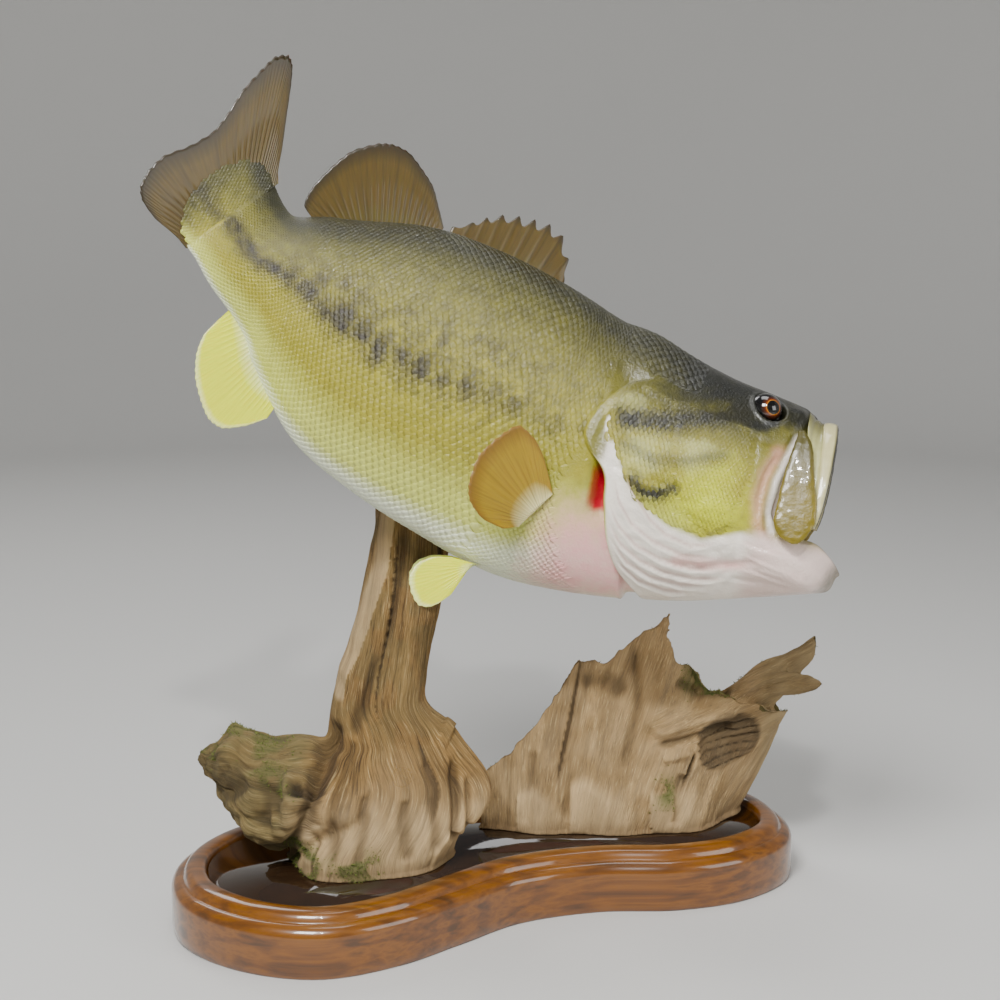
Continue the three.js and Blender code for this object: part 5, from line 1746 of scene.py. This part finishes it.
def makeStump():
    angles = np.arange(120) * 2 * math.pi / 120
    heights = np.linspace(wood["bottom"], 330, 150)
    x, y, wide, deep = [smooth(wood["post"], c, heights)[:, None] for c in range(1, 5)]
    low, high, least = wood["calm"]
    strength = lerp(1, least, np.clip((heights - low) / (high - low), 0, 1))[:, None]
    share = knotShare(angles[None], heights[:, None], strength)
    level = np.repeat(heights[:, None], 120, 1)
    post = closedLoft("driftwood_stump_grain", np.stack(
        [x + wide * share * np.cos(angles), y + deep * share * np.sin(angles), level], -1
    ))
    xs = np.linspace(-207, -60, 80)
    y, height, deep, high = [smooth(sorted(wood["root"]), c, xs)[:, None] for c in range(1, 5)]
    share = knotShare(angles[None], (xs + wood["rootStart"])[:, None])
    z = np.maximum(height + high * share * np.sin(angles), wood["bottom"])
    x = np.repeat(xs[:, None], 120, 1)
    return joined(post, [closedLoft("root", np.stack([x, y + deep * share * np.cos(angles), z], -1))])


def makeArm(rows):
    keys = np.arange(len(rows), dtype=float)
    table = np.column_stack([keys, [[*centre, high, thick] for centre, high, thick in rows]])
    t = np.linspace(0, keys[-1], 60)
    centre = np.column_stack([smooth(table, c, t) for c in (1, 2, 3)])
    high, thick = [np.maximum(smooth(table, c, t), 0.8)[:, None] for c in (4, 5)]
    forward = unit(np.gradient(centre, axis=0))
    flat = unit(np.array([0, 0, 1.0]) - forward * forward[:, 2:])
    thin = np.cross(forward, flat)
    spin = np.arange(36) * 2 * math.pi / 36
    across = flat[:, None] * (high * np.cos(spin))[..., None]
    return closedLoft("arm", centre[:, None] + across + thin[:, None] * (thick * np.sin(spin))[..., None])


def makeHollow():
    # the rough ball that is cut out of the shard
    tilts = np.linspace(0.02, math.pi - 0.02, 40)[:, None]
    spins = np.arange(60) * 2 * math.pi / 60
    ball = np.stack([
        np.sin(tilts) * np.cos(spins), np.sin(tilts) * np.sin(spins), np.cos(tilts) * np.ones(60),
    ], -1)
    rough = 0.90 + 0.14 * valueNoise(ball.reshape(-1, 3) * 2.6 + 9, 51).reshape(40, 60, 1)
    return closedLoft("hollow", wood["hollow"]["centre"] + ball * rough * wood["hollow"]["radii"])


def makeShard():
    stations = np.arange(len(wood["shard"]), dtype=float)
    table = np.column_stack([stations, wood["shard"]])
    t = np.linspace(0, stations[-1], 190)
    x, y, top, lean = [smooth(table, c, t) for c in range(1, 5)]
    top = np.interp(t, stations, table[:, 3]) * 0.6 + top * 0.4
    # the broken edge is splintered between the stations
    top = top - 5 * valueNoise(np.column_stack([x / 3.2, x * 0, x * 0]), 71) * ramp(0, 1.5, t) + 1
    size, lengthways, upward = wood["ripple"]
    inward = unit(np.column_stack([-np.gradient(y), np.gradient(x)]))
    rise = np.linspace(0, 1, 70)
    height = wood["bottom"] + (top - wood["bottom"])[:, None] * rise
    layers = []
    for back in (0, 1):
        ripple = size * np.sin(x[:, None] / lengthways + height / upward)
        depth = lean[:, None] * rise + ripple + back * lerp(wood["foot"], wood["top"], rise)
        placed = [x[:, None] + inward[:, :1] * depth, y[:, None] + inward[:, 1:] * depth, height]
        layers.append(np.stack(placed, -1))
    ring = np.concatenate([layers[0], layers[1][:, ::-1]], axis=1)
    shard = closedLoft("driftwood_shard_grain", ring)
    return joined(shard, [makeArm(rows) for rows in wood["arms"]], makeHollow())


def stumpGrains(points):
    # grain runs up the post and out along the root, each wound evenly round its own middle
    x, y, z = points.T
    middle = [smooth(wood["post"], c, np.clip(z, 37.3, 330)) for c in (1, 2)]
    angle = np.arctan2(y - middle[1], x - middle[0]) + z / 420
    first = np.column_stack([48 * np.cos(angle), 48 * np.sin(angle), z])
    along = np.clip(x, -207, -60)
    y0, z0 = [smooth(sorted(wood["root"]), c, along) for c in (1, 2)]
    angle = np.arctan2(z - z0, y - y0) + x / 300
    second = np.column_stack([44 * np.cos(angle) + 300, 44 * np.sin(angle), x])
    return first, second, ramp(-108, -126, x) * ramp(150, 122, z) * ramp(44, 66, z)


def shardGrains(points):
    # grain fans up the shard and turns out along its arm
    x, y, z = points.T
    first = np.column_stack([60 + (x - 60) / (1 + (z - 37) / 330) - z * 0.16, y * 0.5, z])
    second = np.column_stack([300 - x * 0.40 + z * 0.92, y * 0.5, x * 0.92 + z * 0.40])
    behind = ramp(108, 124, x) * ramp(98, 104, z) * ramp(136, 124, z)
    return first, second, np.maximum(ramp(146, 176, x) * ramp(98, 122, z), behind)


def stumpFeatures(points, normals):
    x, _, z = points.T
    rise = formRise(points, normals, wood["stumpForms"])
    knot = wood["cutKnot"]
    radius = np.hypot(x - knot["at"][0], z - knot["at"][1])
    front = ramp(0.15, -0.35, normals[:, 1])
    rise += front * knot["rise"] * bell(radius - knot["radius"] * 0.75, 3.2)
    rise -= front * knot["hollow"] * ramp(knot["radius"] * 0.6, 1.5, radius)
    rough = (valueNoise(points / 17, 63) - 0.5) * 9 + (valueNoise(points / 7, 64) - 0.5) * 4
    ragged = ramp(-180, -205, x) * (valueNoise(points / 6, 62) - 0.5) * 7 + ramp(-112, -135, x) * rough
    ridge = wood["stumpForms"][0]["line"]
    ridgeX = np.interp(z, *zip(*[(height, at + 4) for at, height in ridge[::-1]]))
    plate = ramp(11, 6, lineDistance(x, z, ridge)[0]) * (x < ridgeX)
    patch = valueNoise(points / 9, 31)
    mossyFoot = ramp(0.0, -0.4, normals[:, 1]) * ramp(64, 44, z) * ramp(-150, -134, x) * ramp(-70, -88, x)
    upper = ramp(0.25, 0.7, normals[:, 2]) * ramp(-128, -160, x) * 0.5
    gloss = front * np.exp(-(((x + 62) / 17) ** 2) - (((z - 105) / 15) ** 2))
    return {
        "rise": rise + ragged,
        "moss": (mossyFoot * 1.3 + upper) * ramp(0.35, 0.62, patch),
        "pale": ramp(110, 62, z) * ramp(-150, -125, x) * front * (0.7 + 0.5 * patch) + 0.8 * plate * front,
        "grey": ramp(-112, -140, x) * (0.7 + 0.5 * patch) + 0.45 * ramp(100, 150, z) * ramp(0.3, 0.6, patch),
        "gloss": gloss,
        "dark": front * ramp(knot["radius"] * 0.6, 1.5, radius) * 0.8,
    }


def shardFeatures(points, normals):
    x, _, z = points.T
    front = ramp(0.15, -0.35, normals[:, 1])
    rise = formRise(points, normals, wood["shardForms"])
    fresh = np.zeros(len(points))
    for at, runs, top, out in wood["slabs"]:
        share = np.clip(1 - (x - at) / runs, 0, 1) * (x > at) * ramp(top + 8, top - 6, z + 5 * np.sin(x / 6))
        rise += front * out * share
        fresh = np.maximum(fresh, share)
    away = (points - wood["hollow"]["centre"]) / np.array(wood["hollow"]["radii"])
    inside = ramp(1.12, 0.98, np.linalg.norm(away, axis=1))
    spacing, deep = wood["layers"]
    strata = (z - 0.22 * x + 4 * valueNoise(points / 12, 52)) / spacing % 1
    rise += inside * deep * (ramp(0, 0.25, strata) - strata)
    patch = valueNoise(points / 10, 41)
    crest = ramp(118, 140, z) * ramp(134, 146, x) * ramp(190, 176, x) * ramp(-0.2, 0.3, normals[:, 1]) * 0.9
    edge = ramp(128, 150, z) * ramp(134, 142, x) * ramp(176, 166, x) * 0.6
    seam = np.exp(-(((x - 126) / 7) ** 2) - (((z - 66) / 11) ** 2)) * 1.1
    return {
        "rise": rise,
        "moss": (crest + edge + seam + 0.35 * ramp(0.1, 0.5, normals[:, 1])) * ramp(0.30, 0.60, patch),
        "pale": fresh * front + front * (0.35 + 0.4 * patch),
        "grey": ramp(190, 204, x) * (0.5 + 0.5 * patch) + 0.8 * ramp(0.0, 0.5, normals[:, 1]),
        "gloss": np.zeros(len(points)),
        # painted shade: the inside of the hollow is painted near black, darker again where each broken layer
        # steps
        "dark": inside * (0.72 + 0.3 * ramp(0.75, 0.98, strata)) * ramp(1.1, 0.85, np.abs(away[:, 0])),
    }


def makeWoodMaterial():
    # weathered driftwood: long tan fibres, painted shade in its grooves, splits and hollow, pale fresh
    # breaks, grey weathering, green moss stain
    material, tree, shader = newMaterial("weathered driftwood")

    def streaks(widthMm, lengthMm, detail):
        # fibres drawn along both grains, mixed where one turns into the other
        fit = (1 / (widthMm * mm), 1 / (widthMm * mm), 1 / (lengthMm * mm))
        drawn = []
        for grain in ("grainFirst", "grainSecond"):
            links = {"Vector": attribute(tree, grain, "Vector"), "Scale": fit}
            mapping = addNode(tree, "ShaderNodeMapping", links=links)
            drawn.append(noise(tree, (mapping, "Vector"), 1.0, detail, 0.62))
        ends = {0: attribute(tree, "turned"), 2: drawn[0], 3: drawn[1]}
        return addNode(tree, "ShaderNodeMix", {"data_type": "FLOAT"}, ends), 0

    shade = mixed(tree, patternNoise(tree, 30, 5.0), colour("#7c5f34"), colour("#a8834a"))
    broad, fine = streaks(3.6, 60, 6.0), streaks(0.8, 16, 6.0)
    for source, low, high, text, most in (
        (broad, 0.50, 0.66, "#5a421f", 0.85),
        (fine, 0.52, 0.66, "#3c2a14", 0.85),
        (fine, 0.46, 0.34, "#dcc08a", 0.6),
    ):
        shade = mixed(tree, gated(tree, source, low, high, most), shade, colour(text))
    # the mask of grooves and splits and the dark mask paint shade: darker in the grooves and splits, near
    # black inside the shard's hollow; dark also fills the cut knot's sunken heart
    for name, text, amount in (
        ("grey", "#6f6a44", 0.6), ("pale", "#e8c998", 0.65), ("grooveShade", "#2e2010", 0.8),
        ("dark", "#1f150b", 0.9), ("moss", "#55602c", 0.8), ("foot", "#5a4128", 0.5),
        ("gloss", "#a98a5c", 0.4),
    ):
        covered = maths(tree, "MULTIPLY", attribute(tree, name), amount, clamp=True)
        shade = mixed(tree, covered, shade, colour(text))
    rough = maths(tree, "MULTIPLY_ADD", attribute(tree, "gloss"), -0.75, 0.9)
    setSockets(tree, shader, {"Base Color": shade, "Roughness": rough})
    addBump(tree, shader, fine, 1.0, 1.8)
    return material


woodMaterial = makeWoodMaterial()
# soft moss tufts, dark and yellow green in patches
mossMaterial = makePlainMaterial("dry moss", ("#4d5a22", "#7b8438"), 4, 0.9, 0.0, 1.0, 0.2)
mossTree = scatterTree(
    "moss tufts", {"Density": 900000.0, "Length": 0.0022, "Thickness": 0.00035, "Seed": 5}, mossMaterial
)
for maker, grains, features, seed, name in (
    (makeStump, stumpGrains, stumpFeatures, 3, "stump"), (makeShard, shardGrains, shardFeatures, 9, "shard"),
):
    piece = maker()
    wearGrain(piece, grains, features, seed)
    tufts = growOver(piece, f"moss_{name}", mossTree, {"Density": 420000.0, "Length": 0.0021, "Seed": seed})
    finishPiece(piece, woodMaterial, [f"driftwood_{name}"])
    finishPiece(tufts, mossMaterial, [])
    print("driftwood", name, len(piece.data.polygons), "moss", len(tufts.data.polygons))


# plinth and resin, on the solids' own closed outline
plinth = {
    "outline": [
        [-223, -32], [-209, -92], [-165, -132], [-110, -145], [-60, -124], [-22, -92], [20, -56], [75, -37],
        [130, -34], [180, -16], [216, 22], [221, 62], [200, 112], [150, 142], [80, 156], [0, 150], [-80, 118],
        [-150, 72], [-205, 20],
    ],
    # inset and height, from the floor up
    "edge": [
        [1.5, 0], [0, 2], [0, 27], [0.8, 30.5], [3, 33.4], [7, 35.4], [8.2, 35], [9.2, 37.4], [11, 40.2],
        [15, 42], [22, 42], [24, 40], [25, 34],
    ],
    "perSpan": 24,
    "resinInset": 25.6,
    "resinTop": 37,
}


def outlineCurve():
    points = np.array(plinth["outline"], float)
    count = len(points)
    where, heading = [], []
    for k in range(count):
        p0, p1, p2, p3 = [points[(k + d - 1) % count] for d in range(4)]
        d0, d1, d2 = [np.linalg.norm(b - a) ** 0.5 for a, b in ((p0, p1), (p1, p2), (p2, p3))]
        t1 = ((p1 - p0) / d0 - (p2 - p0) / (d0 + d1) + (p2 - p1) / d1) * d1
        t2 = ((p2 - p1) / d1 - (p3 - p1) / (d1 + d2) + (p3 - p2) / d2) * d1
        for t in np.arange(plinth["perSpan"]) / plinth["perSpan"]:
            where.append(hermite(p1, p2, t1, t2, t))
            heading.append(
                (6 * t**2 - 6 * t) * p1 + (3 * t**2 - 4 * t + 1) * t1
                + (6 * t - 6 * t**2) * p2 + (3 * t**2 - 2 * t) * t2
            )
    heading = unit(np.array(heading))
    return np.array(where), np.column_stack([-heading[:, 1], heading[:, 0]])


def rounded(profile, times):
    for _ in range(times):
        cut = [profile[0]]
        for a, b in zip(profile[:-1], profile[1:]):
            a, b = np.array(a, float), np.array(b, float)
            cut += [a * 0.75 + b * 0.25, a * 0.25 + b * 0.75]
        profile = [*cut, profile[-1]]
    return profile


def outlineRows(profile):
    where, inward = outlineCurve()
    return np.array([
        np.column_stack([where + inward * inset, np.full(len(where), z)]) for inset, z in profile
    ])


def makeLacquerMaterial():
    # lacquered hardwood: amber brown figure with dark grain lines, under a deep gloss
    material, tree, shader = newMaterial("lacquered hardwood")
    place = addNode(tree, "ShaderNodeTexCoord")
    mapping = addNode(tree, "ShaderNodeMapping", links={
        "Vector": (place, "Object"), "Rotation": (0.0, 0.03, 0.12), "Scale": (0.035, 1.0, 1.6),
    })
    figure = noise(tree, (mapping, "Vector"), 1 / (9 * mm), 5.0, 0.5, 0.25)
    pores = noise(tree, (mapping, "Vector"), 1 / (2.2 * mm), 4.0)
    stops = [(0.30, "#4a2900"), (0.46, "#6a3c00"), (0.58, "#7f4b00"), (0.75, "#5a3300")]
    shade = mixed(
        tree, gated(tree, pores, 0.60, 0.80, 0.4), colourBand(tree, figure, stops), colour("#331505")
    )
    setSockets(tree, shader, {
        "Base Color": shade, "Roughness": 0.3, "Coat Weight": 1.0, "Coat Roughness": 0.04,
    })
    return material


def makeResinMaterial():
    # cast resin over a dark recess: black brown, mirror smooth, with slight ripples
    material, tree, shader = newMaterial("cast resin")
    shade = mixed(tree, patternNoise(tree, 30), colour("#14100c"), colour("#3a2616"))
    setSockets(tree, shader, {
        "Base Color": shade, "Roughness": 0.08, "Coat Weight": 1.0, "Coat Roughness": 0.02,
    })
    addBump(tree, shader, patternNoise(tree, 14, 2.0), 0.25, 0.8)
    return material


plinthPiece = closedLoft("plinth_moulding", outlineRows(rounded(plinth["edge"], 1)))
finishPiece(plinthPiece, makeLacquerMaterial(), ["plinth"])
floorOfRecess = plinth["edge"][-1][1] + 0.3
resinProfile = [[plinth["resinInset"], floorOfRecess], [plinth["resinInset"], plinth["resinTop"]]]
finishPiece(closedLoft("resin_pour", outlineRows(resinProfile)), makeResinMaterial(), ["resin_pool"])
print("plinth and resin done")
